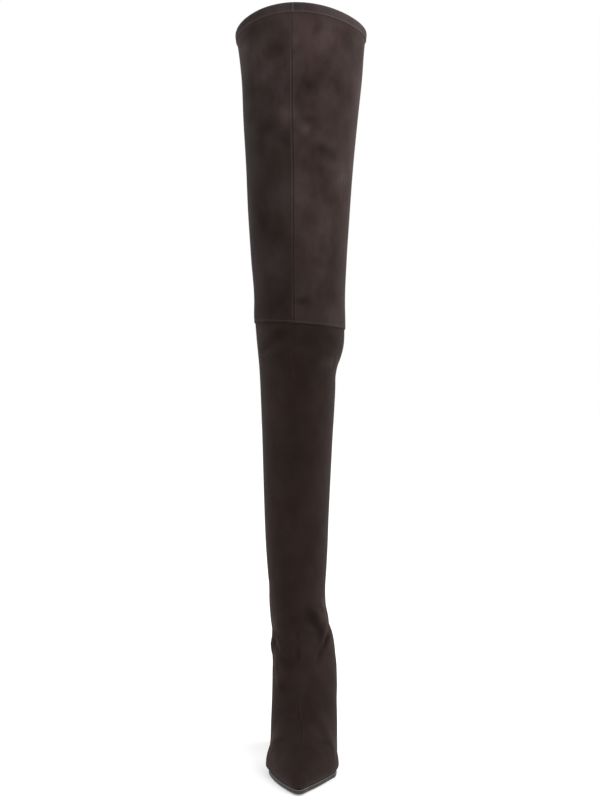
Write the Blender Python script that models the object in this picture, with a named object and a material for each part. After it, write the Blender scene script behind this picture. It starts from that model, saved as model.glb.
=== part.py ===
"""Thigh high boot for the right foot: pointed toe, high heel, soft hollow shaft.

Metres, +Z up. The toe points along -Y and the inner side of the leg is +X.
The origin is the middle of the heel tip, on the floor.
"""
from collections import namedtuple
from math import cos, pi, radians, sin, sqrt

import bmesh
import bpy
import numpy as np

# Foot sizes
FOOT_LENGTH = 0.246
HEEL_OVERHANG = 0.036
HEEL_HEIGHT = 0.100
BALL_WIDTH = 0.080
INSTEP_HEIGHT = 0.066
TOE_SPRING = 0.0015
NOSE_BULGE = 0.0010

# Leg sizes, heights above the heel seat
ANKLE_RISE = 0.066
ANKLE_WIDTH = 0.067
ANKLE_DEPTH = 0.088
CALF_WIDTH = 0.0876
CALF_DEPTH = 0.117
KNEE_RISE = 0.3918
KNEE_WIDTH = 0.1063
KNEE_DEPTH = 0.1175
KNEE_TILT = 0.0075
TOP_RISE = 0.739
TOP_WIDTH = 0.1530
TOP_DEPTH = 0.163
FRONT_PEAK = 0.014
MOUTH_TILT = 0.003
SHAFT_TURN = radians(12)

# Where the shaft's slants start and end: shares of the leg below the knee, and of the thigh
SLANT_START = 0.8
SLANT_END = 0.25
MOUTH_START = 0.7

# Material thicknesses and clearances
WALL = 0.0018
LAP_STEP = 0.0011
BAND_HEIGHT = 0.0095
BAND_THICKNESS = 0.0034
BAND_PROUD = 0.0008
SOLE_THICKNESS = 0.0045
SOLE_MARGIN = 0.0008
INSOLE_THICKNESS = 0.0020
INSOLE_TOE = 0.984
GAP = 0.0003

# Heel sizes
HEEL_BREAST = 0.052
HEEL_INSET = 0.0006
LIFT_WIDTH = 0.040
LIFT_DEPTH = 0.038
LIFT_THICKNESS = 0.006

# Mesh divisions of one section: crown to belly, belly to feather line, across the bottom
CROWN_STEPS = 8
BELLY_STEPS = 4
BASE_STEPS = 6
BACK_CORNER = radians(140)
SEAT_ARC_START = 0.11
SEAT_CORNER = 0.065
LAST_RUNG = radians(88)

# Underside of the last: shares of foot length from the heel back, and of heel height
BottomRow = namedtuple("BottomRow", "along rise")
BOTTOM_LINE = [
    BottomRow(0.00, 1.000),
    BottomRow(0.06, 0.975),
    BottomRow(0.13, 0.925),
    BottomRow(0.20, 0.853),
    BottomRow(0.28, 0.720),
    BottomRow(0.36, 0.545),
    BottomRow(0.44, 0.355),
    BottomRow(0.50, 0.205),
    BottomRow(0.54, 0.120),
    BottomRow(0.58, 0.048),
    BottomRow(0.61, 0.014),
    BottomRow(0.64, 0.000),
    BottomRow(0.76, 0.000),
    BottomRow(1.00, 0.000),
]
SPRING_START = 0.76

# Feather line, where upper and sole meet: half widths as shares of ball width
FeatherRow = namedtuple("FeatherRow", "along outer inner")
FEATHER_LINE = [
    FeatherRow(0.110, 0.315, 0.312),
    FeatherRow(0.170, 0.312, 0.302),
    FeatherRow(0.240, 0.298, 0.272),
    FeatherRow(0.320, 0.290, 0.252),
    FeatherRow(0.380, 0.306, 0.255),
    FeatherRow(0.440, 0.345, 0.280),
    FeatherRow(0.500, 0.400, 0.328),
    FeatherRow(0.560, 0.452, 0.382),
    FeatherRow(0.610, 0.471, 0.424),
    FeatherRow(0.660, 0.472, 0.440),
    FeatherRow(0.720, 0.446, 0.424),
    FeatherRow(0.780, 0.400, 0.334),
    FeatherRow(0.840, 0.336, 0.240),
    FeatherRow(0.900, 0.260, 0.138),
    FeatherRow(0.950, 0.190, 0.046),
    FeatherRow(0.975, 0.148, 0.006),
    FeatherRow(0.990, 0.119, -0.025),
    FeatherRow(0.996, 0.104, -0.038),
    FeatherRow(0.999, 0.088, -0.054),
]

# Foot sections, toe to heel. along: foot of the section on the bottom line. fore: its crown.
# tall: crown height over the bottom line. outer and inner: belly half widths. belly: its level.
FootRow = namedtuple("FootRow", "along fore tall outer inner belly ridge")
FOOT_SECTIONS = [
    FootRow(0.996, 0.997, 0.075, 0.118, -0.028, 0.40, -0.072),
    FootRow(0.984, 0.986, 0.155, 0.155, 0.016, 0.38, -0.070),
    FootRow(0.960, 0.964, 0.222, 0.200, 0.062, 0.35, -0.066),
    FootRow(0.919, 0.927, 0.298, 0.258, 0.142, 0.32, -0.058),
    FootRow(0.862, 0.874, 0.398, 0.336, 0.248, 0.27, -0.046),
    FootRow(0.797, 0.817, 0.503, 0.412, 0.362, 0.18, -0.032),
    FootRow(0.732, 0.764, 0.624, 0.478, 0.445, 0.12, -0.018),
    FootRow(0.667, 0.715, 0.776, 0.521, 0.478, 0.10, -0.004),
    FootRow(0.610, 0.673, 0.930, 0.486, 0.463, 0.14, 0.008),
    FootRow(0.553, 0.630, 1.000, 0.464, 0.466, 0.24, 0.014),
    FootRow(0.496, 0.587, 1.015, 0.459, 0.470, 0.34, 0.014),
    FootRow(0.435, 0.545, 0.992, 0.452, 0.469, 0.40, 0.010),
    FootRow(0.370, 0.502, 0.962, 0.449, 0.478, 0.43, 0.004),
    FootRow(0.301, 0.461, 0.925, 0.450, 0.477, 0.45, -0.004),
    FootRow(0.232, 0.427, 0.897, 0.453, 0.463, 0.46, -0.014),
    FootRow(0.167, 0.400, 0.912, 0.463, 0.452, 0.47, -0.024),
    FootRow(0.110, 0.382, 0.973, 0.470, 0.432, 0.48, -0.034),
    FootRow(0.065, 0.370, 1.045, 0.466, 0.398, 0.49, -0.044),
]
FOOT_STATIONS = (
    0.996, 0.984, 0.960, 0.925, 0.885, 0.840, 0.790, 0.740, 0.690, 0.650, 0.615, 0.585, 0.560,
    0.535, 0.510, 0.480, 0.445, 0.405, 0.360, 0.310, 0.260, 0.210, 0.160, SEAT_ARC_START,
    SEAT_CORNER,
)

# Ankle sections, fanned round the heel. back and front: heights as shares of ankle rise.
# width and depth: shares of the ankle. outer and ahead: the part outside and before the axis.
AnkleRow = namedtuple("AnkleRow", "back front width outer depth ahead")
ANKLE_SECTIONS = [
    AnkleRow(0.245, 1.139, 1.025, 0.572, 1.056, 0.575),
    AnkleRow(0.488, 1.276, 1.004, 0.600, 1.050, 0.569),
    AnkleRow(0.730, 1.412, 0.998, 0.611, 1.025, 0.579),
    AnkleRow(0.973, 1.564, 1.000, 0.612, 1.005, 0.588),
    AnkleRow(1.245, 1.730, 1.034, 0.611, 1.000, 0.591),
    AnkleRow(1.533, 1.912, 1.066, 0.610, 1.011, 0.584),
    AnkleRow(1.850, 2.109, 1.097, 0.609, 1.043, 0.564),
]

# Leg sections below the knee seam: rise is a share of the knee's, shares of calf or knee sizes
LegRow = namedtuple("LegRow", "rise width outer depth ahead")
SHIN_SECTIONS = [
    LegRow(0.400, 0.865 * CALF_WIDTH, 0.608, 0.838 * CALF_DEPTH, 0.526),
    LegRow(0.484, 0.897 * CALF_WIDTH, 0.602, 0.896 * CALF_DEPTH, 0.494),
    LegRow(0.573, 0.930 * CALF_WIDTH, 0.594, 0.944 * CALF_DEPTH, 0.475),
    LegRow(0.661, 0.962 * CALF_WIDTH, 0.586, 0.979 * CALF_DEPTH, 0.468),
    LegRow(0.750, 1.000 * CALF_WIDTH, 0.578, 1.000 * CALF_DEPTH, 0.470),
    LegRow(0.813, 1.025 * CALF_WIDTH, 0.575, 1.010 * CALF_DEPTH, 0.479),
    LegRow(0.854, 1.039 * CALF_WIDTH, 0.576, 1.010 * CALF_DEPTH, 0.488),
    LegRow(0.884, 0.885 * KNEE_WIDTH, 0.566, 1.003 * KNEE_DEPTH, 0.496),
    LegRow(0.913, 0.932 * KNEE_WIDTH, 0.549, 1.000 * KNEE_DEPTH, 0.504),
    LegRow(0.943, 0.970 * KNEE_WIDTH, 0.539, 0.996 * KNEE_DEPTH, 0.513),
    LegRow(0.972, 0.990 * KNEE_WIDTH, 0.538, 0.997 * KNEE_DEPTH, 0.521),
    LegRow(1.000, 1.000 * KNEE_WIDTH, 0.541, 1.000 * KNEE_DEPTH, 0.528),
]

# Thigh sections: rise runs from the knee seam to the collar top
THIGH_SECTIONS = [
    LegRow(0.000, 1.000 * KNEE_WIDTH, 0.541, 1.000 * KNEE_DEPTH, 0.528),
    LegRow(0.030, 1.006 * KNEE_WIDTH, 0.543, 1.005 * KNEE_DEPTH, 0.528),
    LegRow(0.080, 1.000 * KNEE_WIDTH, 0.544, 1.015 * KNEE_DEPTH, 0.527),
    LegRow(0.235, 1.055 * KNEE_WIDTH, 0.549, 1.075 * KNEE_DEPTH, 0.525),
    LegRow(0.390, 0.779 * TOP_WIDTH, 0.546, 0.830 * TOP_DEPTH, 0.524),
    LegRow(0.545, 0.820 * TOP_WIDTH, 0.537, 0.876 * TOP_DEPTH, 0.528),
    LegRow(0.700, 0.874 * TOP_WIDTH, 0.527, 0.920 * TOP_DEPTH, 0.533),
    LegRow(0.855, 0.927 * TOP_WIDTH, 0.514, 0.961 * TOP_DEPTH, 0.540),
    LegRow(0.935, 0.960 * TOP_WIDTH, 0.517, 0.982 * TOP_DEPTH, 0.543),
    LegRow(1.000, 1.000 * TOP_WIDTH, 0.520, 1.000 * TOP_DEPTH, 0.543),
]

# Heel block, tip to seat: rise share, and how far width, back and breast have opened out
HeelRow = namedtuple("HeelRow", "rise spread back breast")
HEEL_SECTIONS = [
    HeelRow(0.00, 0.00, 0.00, 0.00),
    HeelRow(0.18, 0.03, 0.03, -0.05),
    HeelRow(0.38, 0.10, 0.12, 0.00),
    HeelRow(0.58, 0.26, 0.30, 0.15),
    HeelRow(0.76, 0.50, 0.56, 0.42),
    HeelRow(0.90, 0.79, 0.83, 0.76),
    HeelRow(1.00, 1.00, 1.00, 1.00),
]

# Folded collar band, round its own section: shares of its thickness and height
BandRow = namedtuple("BandRow", "out up")
BAND_SECTION = [
    BandRow(0.06, 0.00),
    BandRow(0.00, 0.25),
    BandRow(0.00, 0.70),
    BandRow(0.14, 0.91),
    BandRow(0.50, 1.00),
    BandRow(0.86, 0.91),
    BandRow(1.00, 0.70),
    BandRow(1.00, 0.00),
]

# Colours and finish of each piece: base colour, roughness
FINISHES = {
    "upper": ((0.024, 0.016, 0.013), 0.92),
    "thigh_shaft": ((0.033, 0.023, 0.021), 0.92),
    "collar_band": ((0.045, 0.033, 0.030), 0.90),
    "insole": ((0.105, 0.075, 0.055), 0.80),
    "outsole": ((0.020, 0.018, 0.017), 0.55),
    "heel": ((0.024, 0.016, 0.013), 0.90),
    "top_lift": ((0.012, 0.012, 0.012), 0.60),
}

SEAT_LEVEL = HEEL_HEIGHT + SOLE_THICKNESS + GAP
SIDE_COUNT = 2 * (CROWN_STEPS + BELLY_STEPS) + 1


def smooth_read(rows, key, value, at):
    """Read a column of a table at one place, on a smooth curve with no overshoot."""
    pairs = sorted((getattr(row, key), getattr(row, value)) for row in rows)
    places = [pair[0] for pair in pairs]
    heights = [pair[1] for pair in pairs]
    at = min(max(at, places[0]), places[-1])
    slot = max(i for i in range(len(places) - 1) if places[i] <= at)
    spans = np.diff(places)
    slopes = np.diff(heights) / spans

    def tangent(i):
        if i == 0:
            return slopes[0]
        if i == len(slopes):
            return slopes[-1]
        if slopes[i - 1] * slopes[i] <= 0:
            return 0.0
        before = 2 * spans[i] + spans[i - 1]
        after = spans[i] + 2 * spans[i - 1]
        return (before + after) / (before / slopes[i - 1] + after / slopes[i])

    span = spans[slot]
    t = (at - places[slot]) / span
    start = heights[slot] * (1 + 2 * t) * (1 - t) ** 2 + tangent(slot) * span * t * (1 - t) ** 2
    end = heights[slot + 1] * t * t * (3 - 2 * t) - tangent(slot + 1) * span * t * t * (1 - t)
    return float(start + end)


def place_along(along):
    """Y of a share of the foot length, counted from the heel back."""
    return HEEL_OVERHANG - along * FOOT_LENGTH


def share_along(y):
    """Share of the foot length at a Y."""
    return (HEEL_OVERHANG - y) / FOOT_LENGTH


def bottom_level(y):
    """Height of the last's underside, where upper and insole stand."""
    along = share_along(y)
    spring = max(0.0, (along - SPRING_START) / (1 - SPRING_START))
    rise = smooth_read(BOTTOM_LINE, "along", "rise", along) * HEEL_HEIGHT
    return SOLE_THICKNESS + GAP + rise + TOE_SPRING * spring ** 2


def bottom_offset(y, depth):
    """A point below the last's underside by a depth square to it: Y and Z."""
    step = FOOT_LENGTH / 500
    slope = (bottom_level(y + step) - bottom_level(y - step)) / (2 * step)
    length = sqrt(1 + slope * slope)
    return y + depth * slope / length, bottom_level(y) - depth / length


def feather_half(along, side):
    """Half width of the feather line on a side: rounded behind, from the table ahead."""
    start = max(along, SEAT_ARC_START)
    half = smooth_read(FEATHER_LINE, "along", side, start) * BALL_WIDTH
    if along < SEAT_ARC_START:
        half *= sqrt(max(0.0, 1 - (1 - along / SEAT_ARC_START) ** 2))
    return half


def seat_arc_angles():
    """Angles of the rounded heel seat between its corners, outer side to inner."""
    start = float(np.arcsin(1 - SEAT_CORNER / SEAT_ARC_START))
    return [start + (pi - 2 * start) * step / BASE_STEPS for step in range(BASE_STEPS + 1)]


def seat_arc_point(angle):
    """A point of the rounded heel seat in plan, angle 0 on the outer side."""
    side = "outer" if cos(angle) > 0 else "inner"
    half = smooth_read(FEATHER_LINE, "along", side, SEAT_ARC_START) * BALL_WIDTH
    x = -half * cos(angle)
    y = place_along(SEAT_ARC_START * (1 - sin(angle)))
    return x, y


def half_section(belly_half, feather, crown_x, belly, shaft_share):
    """One side of a section, crown to feather line: (x, share of the height) pairs."""
    points = []
    for step in range(CROWN_STEPS + 1):
        angle = pi / 2 * (1 - step / CROWN_STEPS)
        x = crown_x + (belly_half - crown_x) * cos(angle)
        points.append((x, belly + (1 - belly) * sin(angle)))
    for step in range(1, BELLY_STEPS + 1):
        t = step / BELLY_STEPS
        foot_x = feather + (belly_half - feather) * sin(pi / 2 * (1 - t))
        foot_up = belly * (1 - t)
        angle = pi / 2 + (BACK_CORNER - pi / 2) * t
        shaft_x = crown_x + (belly_half - crown_x) * sin(angle)
        shaft_up = belly * (1 + cos(angle))
        x = foot_x + (shaft_x - foot_x) * shaft_share
        points.append((x, foot_up + (shaft_up - foot_up) * shaft_share))
    return points


def section_ring(crown, base, outer, inner, feathers, crown_x, belly, shaft_share):
    """Side points of a section, from the inner feather corner over the crown to the outer."""
    inner_side = half_section(inner, feathers[1], crown_x, belly, shaft_share)
    outer_side = half_section(outer, feathers[0], -crown_x, belly, shaft_share)
    flat = inner_side[::-1] + [(-x, up) for x, up in outer_side[1:]]
    crown = np.array(crown)
    base = np.array(base)
    ring = []
    for x, up in flat:
        y, z = base + (crown - base) * up
        ring.append((x, float(y), float(z)))
    return ring


def back_points(crown, base, outer, inner, crown_x, belly):
    """Points of a shaft section round its back, from the outer corner to the inner."""
    crown = np.array(crown)
    base = np.array(base)
    points = []
    for step in range(1, BASE_STEPS):
        angle = BACK_CORNER + (2 * pi - 2 * BACK_CORNER) * step / BASE_STEPS
        half = outer + crown_x if sin(angle) > 0 else inner - crown_x
        x = crown_x - half * sin(angle)
        y, z = base + (crown - base) * belly * (1 + cos(angle))
        points.append((float(x), float(y), float(z)))
    return points


def foot_ring(along):
    """Open section of the foot, standing on the feather line at a share of the length."""
    read = {}
    for column in FootRow._fields[1:]:
        read[column] = smooth_read(FOOT_SECTIONS, "along", column, along)
    base = (place_along(along), bottom_level(place_along(along)))
    crown = (place_along(read["fore"]), base[1] + read["tall"] * INSTEP_HEIGHT)
    feathers = [feather_half(along, "outer"), feather_half(along, "inner")]
    return section_ring(crown, base, read["outer"] * BALL_WIDTH, read["inner"] * BALL_WIDTH,
                        feathers, read["ridge"] * BALL_WIDTH, read["belly"], 0.0)


def seat_ring():
    """The last foot section, closed behind by the rounded edge of the heel seat."""
    ring = foot_ring(SEAT_CORNER)
    for angle in seat_arc_angles()[1:-1]:
        x, y = seat_arc_point(angle)
        ring.append((x, y, bottom_level(y)))
    return ring


def shaft_ring(crown, base, width, outer):
    """Closed section of the leg between a front point and a back point."""
    outer_half = width * outer
    inner_half = width * (1 - outer)
    crown_x = (inner_half - outer_half) / 2
    ring = section_ring(crown, base, outer_half, inner_half, [0.0, 0.0], crown_x, 0.5, 1.0)
    return ring + back_points(crown, base, outer_half, inner_half, crown_x, 0.5)


def ankle_ring(row):
    """Leaning section that swings round the heel."""
    depth = row.depth * ANKLE_DEPTH
    crown = (-depth * row.ahead, SEAT_LEVEL + row.front * ANKLE_RISE)
    base = (depth * (1 - row.ahead), SEAT_LEVEL + row.back * ANKLE_RISE)
    return shaft_ring(crown, base, row.width * ANKLE_WIDTH, row.outer)


def level_ring(row, level, grow=0.0):
    """Level section of the leg, larger all round by grow."""
    width = row.width + 2 * grow
    depth = row.depth + 2 * grow
    outer = (row.width * row.outer + grow) / width
    ahead = (row.depth * row.ahead + grow) / depth
    return shaft_ring((-depth * ahead, level), (depth * (1 - ahead), level), width, outer)


def tilt_at_knee(ring, weight):
    """Lower the inner side of a ring near the knee seam."""
    return [(x, y, z - weight * KNEE_TILT * x / KNEE_WIDTH) for x, y, z in ring]


def shape_mouth(ring, weight):
    """Raise the front and the inner side of a ring near the collar, on the turned shaft."""
    front = min(point[1] for point in ring)
    raised = []
    for x, y, z in ring:
        share = max(0.0, (y * cos(SHAFT_TURN) + x * sin(SHAFT_TURN)) / front)
        rise = FRONT_PEAK * share ** 2 + MOUTH_TILT * x / TOP_WIDTH
        raised.append((x, y, z + weight * rise))
    return raised


def ring_faces(first, second, count, closed):
    """Quads between two rings of vertex numbers, facing out."""
    faces = []
    steps = count if closed else count - 1
    for j in range(steps):
        k = (j + 1) % count
        faces.append((first + j, second + j, second + k, first + k))
    return faces


def thicken(vertices, faces, wall, settle):
    """Give an open skin a wall inside it, with rims along its open edges."""
    outer = np.array(vertices)
    normals = np.zeros_like(outer)
    edges = {}
    for face in faces:
        corners = outer[list(face)]
        facing = np.zeros(3)
        for i in range(1, len(face) - 1):
            facing += np.cross(corners[i] - corners[0], corners[i + 1] - corners[0])
        facing /= np.linalg.norm(facing)
        for i, a in enumerate(face):
            b = face[(i + 1) % len(face)]
            normals[a] += facing
            edges[(a, b)] = edges.get((a, b), 0) + 1
    normals /= np.linalg.norm(normals, axis=1)[:, None]
    inner = outer - normals * wall
    rims = [(a, b) for a, b in edges if (b, a) not in edges]
    for number in {a for edge in rims for a in edge}:
        flat = np.array([normals[number][0], normals[number][1], 0.0])
        flat /= np.linalg.norm(flat)
        inner[number] = settle(outer[number] - flat * wall, outer[number])
    count = len(outer)
    solid = list(faces)
    solid += [tuple(number + count for number in reversed(face)) for face in faces]
    solid += [(b, a, a + count, b + count) for a, b in rims]
    return np.vstack([outer, inner]), solid


def make_material(name):
    """Plain material of a piece."""
    colour, roughness = FINISHES[name]
    material = bpy.data.materials.new(name)
    material.use_nodes = True
    shader = material.node_tree.nodes["Principled BSDF"]
    shader.inputs["Base Color"].default_value = (*colour, 1.0)
    shader.inputs["Roughness"].default_value = roughness
    shader.inputs["Metallic"].default_value = 0.0
    material.diffuse_color = (*colour, 1.0)
    return material


def make_object(name, vertices, faces):
    """One closed solid with its own material, as triangles."""
    mesh = bpy.data.meshes.new(name)
    mesh.from_pydata([tuple(map(float, v)) for v in vertices], [], faces)
    work = bmesh.new()
    work.from_mesh(mesh)
    bmesh.ops.triangulate(work, faces=work.faces[:])
    bmesh.ops.recalc_face_normals(work, faces=work.faces[:])
    work.to_mesh(mesh)
    work.free()
    mesh.shade_smooth()
    mesh.set_sharp_from_angle(angle=radians(40))
    mesh.materials.append(make_material(name))
    piece = bpy.data.objects.new(name, mesh)
    bpy.context.scene.collection.objects.link(piece)
    return piece


def make_upper():
    """Foot and lower leg in one hollow wall, open underneath and at the knee."""
    vertices = []
    faces = []
    starts = []
    for along in FOOT_STATIONS[:-1]:
        starts.append(len(vertices))
        vertices += foot_ring(along)
    rings = [seat_ring()] + [ankle_ring(row) for row in ANKLE_SECTIONS]
    for row in SHIN_SECTIONS:
        near_knee = max(0.0, (row.rise - SLANT_START) / (1 - SLANT_START))
        ring = level_ring(row, SEAT_LEVEL + row.rise * KNEE_RISE)
        rings.append(tilt_at_knee(ring, near_knee))
    closed_from = len(starts)
    for ring in rings:
        starts.append(len(vertices))
        vertices += ring
    for i in range(len(starts) - 1):
        if i < closed_from:
            faces += ring_faces(starts[i], starts[i + 1], SIDE_COUNT, False)
        else:
            faces += ring_faces(starts[i], starts[i + 1], SIDE_COUNT + BASE_STEPS - 1, True)
    faces += nose_faces(vertices)
    return make_object("upper", *thicken(vertices, faces, WALL, settle_upper))


def nose_faces(vertices):
    """Close the first foot section with a small rounded nose."""
    first = np.array(vertices[:SIDE_COUNT])
    nose = (first.min(axis=0) + first.max(axis=0)) / 2
    nose[1] = min(first[:, 1]) - NOSE_BULGE
    vertices.append(tuple(nose))
    tip = len(vertices) - 1
    faces = [(j, j + 1, tip) for j in range(SIDE_COUNT - 1)]
    faces.append((SIDE_COUNT - 1, 0, tip))
    return faces


def settle_upper(inside, outside):
    """Keep the lower rim on the last's underside and the upper rim level with itself."""
    if outside[2] > SEAT_LEVEL + ANKLE_RISE:
        return np.array([inside[0], inside[1], outside[2]])
    return np.array([inside[0], inside[1], bottom_level(inside[1])])


def settle_level(inside, outside):
    """Keep a rim level with itself."""
    return np.array([inside[0], inside[1], outside[2]])


def thigh_level(rise):
    """Height of a share of the thigh, from the knee seam to the collar top."""
    return SEAT_LEVEL + KNEE_RISE + rise * (TOP_RISE - KNEE_RISE)


def thigh_ring(row, lift=0.0):
    """Ring of the thigh panel, which laps outside the knee seam."""
    ring = level_ring(row, thigh_level(row.rise) + lift, LAP_STEP)
    ring = tilt_at_knee(ring, max(0.0, 1 - row.rise / SLANT_END))
    return shape_mouth(ring, max(0.0, (row.rise - MOUTH_START) / (1 - MOUTH_START)))


def read_thigh(rise):
    """Thigh section at any rise, read between the rows."""
    columns = [smooth_read(THIGH_SECTIONS, "rise", name, rise) for name in LegRow._fields[1:]]
    return LegRow(rise, *columns)


def band_foot():
    """Rise at which the collar band starts."""
    return 1 - BAND_HEIGHT / (TOP_RISE - KNEE_RISE)


def make_thigh_shaft():
    """Hollow panel from the knee seam to the collar band."""
    rows = [row for row in THIGH_SECTIONS if row.rise < band_foot() - 0.01]
    rings = [thigh_ring(rows[0], GAP)] + [thigh_ring(row) for row in rows[1:]]
    rings.append(thigh_ring(read_thigh(band_foot()), -GAP))
    count = len(rings[0])
    vertices = [point for ring in rings for point in ring]
    faces = []
    for i in range(len(rings) - 1):
        faces += ring_faces(i * count, (i + 1) * count, count, True)
    return make_object("thigh_shaft", *thicken(vertices, faces, WALL, settle_level))


def make_collar_band():
    """Folded edge round the mouth of the boot, a little thicker than the panel below."""
    foot = np.array(thigh_ring(read_thigh(band_foot())))
    top = np.array(thigh_ring(THIGH_SECTIONS[-1]))
    count = len(foot)
    along = np.roll(top, -1, axis=0) - np.roll(top, 1, axis=0)
    out = np.column_stack([-along[:, 1], along[:, 0], np.zeros(count)])
    out /= np.linalg.norm(out, axis=1)[:, None]
    if np.dot(out[0], top[0] - top.mean(axis=0)) < 0:
        out = -out
    vertices = []
    for row in BAND_SECTION:
        line = foot + (top - foot) * row.up
        vertices += list(line + out * (BAND_PROUD - row.out * BAND_THICKNESS))
    faces = []
    for i in range(len(BAND_SECTION)):
        after = (i + 1) % len(BAND_SECTION)
        faces += ring_faces(i * count, after * count, count, True)
    return make_object("collar_band", vertices, faces)


def outline_pairs(margin, first=1.0):
    """Points of the sole's outline in plan, toe to heel, outer and inner, grown by a margin."""
    shares = [share for share in (0.999,) + FOOT_STATIONS[:-1] if share <= first]
    outer = [(-feather_half(s, "outer"), place_along(s)) for s in shares]
    inner = [(feather_half(s, "inner"), place_along(s)) for s in shares]
    angles = seat_arc_angles()[:BASE_STEPS // 2] + [LAST_RUNG]
    outer += [seat_arc_point(angle) for angle in angles]
    inner += [seat_arc_point(pi - angle) for angle in angles]
    loop = np.array(outer + inner[::-1])
    along = np.roll(loop, -1, axis=0) - np.roll(loop, 1, axis=0)
    if first < 1.0:
        along[0] = loop[1] - loop[0]
        along[-1] = loop[-1] - loop[-2]
    out = np.column_stack([-along[:, 1], along[:, 0]])
    out /= np.linalg.norm(out, axis=1)[:, None]
    if out[0][0] > 0:
        out = -out
    grown = loop + out * margin
    half = len(outer)
    return grown[:half], grown[half:][::-1]


def plate(name, margin, top_depth, bottom_depth, first=1.0):
    """Curved plate under the foot between two depths below the last's underside."""
    outer, inner = outline_pairs(margin, first)
    columns = [outer, (outer + inner) / 2, inner]
    vertices = []
    for depth in (top_depth, bottom_depth):
        for column in columns:
            for x, y in column:
                vertices.append((x, *bottom_offset(y, depth)))
    count = len(outer)

    def number(layer, column, i):
        return (layer * 3 + column) * count + i

    faces = []
    for i in range(count - 1):
        for column in (0, 1):
            for layer in (0, 1):
                faces.append((number(layer, column, i), number(layer, column, i + 1),
                              number(layer, column + 1, i + 1), number(layer, column + 1, i)))
        for column in (0, 2):
            faces.append((number(0, column, i), number(1, column, i),
                          number(1, column, i + 1), number(0, column, i + 1)))
    for i in (0, count - 1):
        for column in (0, 1):
            faces.append((number(0, column, i), number(0, column + 1, i),
                          number(1, column + 1, i), number(1, column, i)))
    return make_object(name, vertices, faces)


def heel_loop(row, outer, inner):
    """Plan of the heel block at one level, and its height share."""
    top = np.vstack([outer, inner[::-1]])
    breast = top[:, 1].min()
    back = top[:, 1].max()
    width = top[:, 0].max() - top[:, 0].min()
    middle = (top[:, 0].max() + top[:, 0].min()) / 2
    now_back = LIFT_DEPTH / 2 + (back - LIFT_DEPTH / 2) * row.back
    now_breast = -LIFT_DEPTH / 2 + (breast + LIFT_DEPTH / 2) * row.breast
    now_width = LIFT_WIDTH + (width - LIFT_WIDTH) * row.spread
    x = middle * row.spread + (top[:, 0] - middle) * now_width / width
    y = now_breast + (top[:, 1] - breast) * (now_back - now_breast) / (back - breast)
    return np.column_stack([x, y]), top


def make_heel():
    """Covered heel block, its top shaped to the underside of the sole."""
    outer, inner = outline_pairs(-HEEL_INSET, HEEL_BREAST / FOOT_LENGTH)
    low = LIFT_THICKNESS + GAP
    vertices = []
    for row in HEEL_SECTIONS:
        loop, top = heel_loop(row, outer, inner)
        for (x, y), (_, top_y) in zip(loop, top):
            seat_y, seat_z = bottom_offset(top_y, SOLE_THICKNESS + 2 * GAP)
            shift = (seat_y - top_y) * row.rise
            vertices.append((x, y + shift, low + (seat_z - low) * row.rise))
    count = 2 * len(outer)
    faces = []
    for i in range(len(HEEL_SECTIONS) - 1):
        faces += ring_faces(i * count, (i + 1) * count, count, True)
    faces += ladder_faces(0, len(outer))
    faces += ladder_faces((len(HEEL_SECTIONS) - 1) * count, len(outer))
    return make_object("heel", vertices, faces)


def ladder_faces(start, half):
    """Close a loop whose two sides are paired point by point."""
    faces = []
    last = start + 2 * half - 1
    for i in range(half - 1):
        faces.append((start + i, start + i + 1, last - i - 1, last - i))
    return faces


def make_top_lift():
    """Wearing piece under the heel, flat on the floor."""
    outer, inner = outline_pairs(-HEEL_INSET, HEEL_BREAST / FOOT_LENGTH)
    loop, _ = heel_loop(HEEL_SECTIONS[0], outer, inner)
    vertices = [(x, y, 0.0) for x, y in loop]
    vertices += [(x, y, LIFT_THICKNESS) for x, y in loop]
    count = len(loop)
    faces = ring_faces(0, count, count, True)
    faces += ladder_faces(0, len(outer)) + ladder_faces(count, len(outer))
    return make_object("top_lift", vertices, faces)


def main():
    for item in list(bpy.data.objects):
        bpy.data.objects.remove(item, do_unlink=True)
    make_upper()
    make_thigh_shaft()
    make_collar_band()
    plate("insole", -(WALL + GAP), -INSOLE_THICKNESS, 0.0, INSOLE_TOE)
    plate("outsole", SOLE_MARGIN, GAP, GAP + SOLE_THICKNESS)
    make_heel()
    make_top_lift()


main()
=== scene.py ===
"""Looks of the thigh high boot: the suede shell with its lining, seams and folds, the sole and
heel, and the floor, lights and camera.

Metres, +Z up, in the frame of the CAD: the toe points along -Y, the inner side of the leg is +X,
and the origin is the middle of the heel tip.
"""

from collections import namedtuple
from math import cos, pi, radians, sin, sqrt

import bmesh
import bpy
import numpy as np
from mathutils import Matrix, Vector

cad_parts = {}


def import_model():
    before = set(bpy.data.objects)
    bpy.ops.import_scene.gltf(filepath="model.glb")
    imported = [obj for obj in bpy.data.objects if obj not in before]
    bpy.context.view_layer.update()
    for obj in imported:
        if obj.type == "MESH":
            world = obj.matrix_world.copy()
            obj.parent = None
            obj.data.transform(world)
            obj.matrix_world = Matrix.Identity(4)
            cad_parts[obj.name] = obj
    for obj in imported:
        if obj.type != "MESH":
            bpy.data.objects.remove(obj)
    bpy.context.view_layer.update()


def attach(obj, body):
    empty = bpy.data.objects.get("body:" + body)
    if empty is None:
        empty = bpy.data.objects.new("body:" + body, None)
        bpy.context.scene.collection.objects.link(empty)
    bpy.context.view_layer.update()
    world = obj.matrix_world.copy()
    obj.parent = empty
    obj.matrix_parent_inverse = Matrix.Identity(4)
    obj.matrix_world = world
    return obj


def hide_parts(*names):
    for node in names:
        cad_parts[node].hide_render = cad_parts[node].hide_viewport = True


def table(kind, rows):
    """Rows with the named columns of their kind."""
    return [kind(*row) for row in rows]


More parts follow.
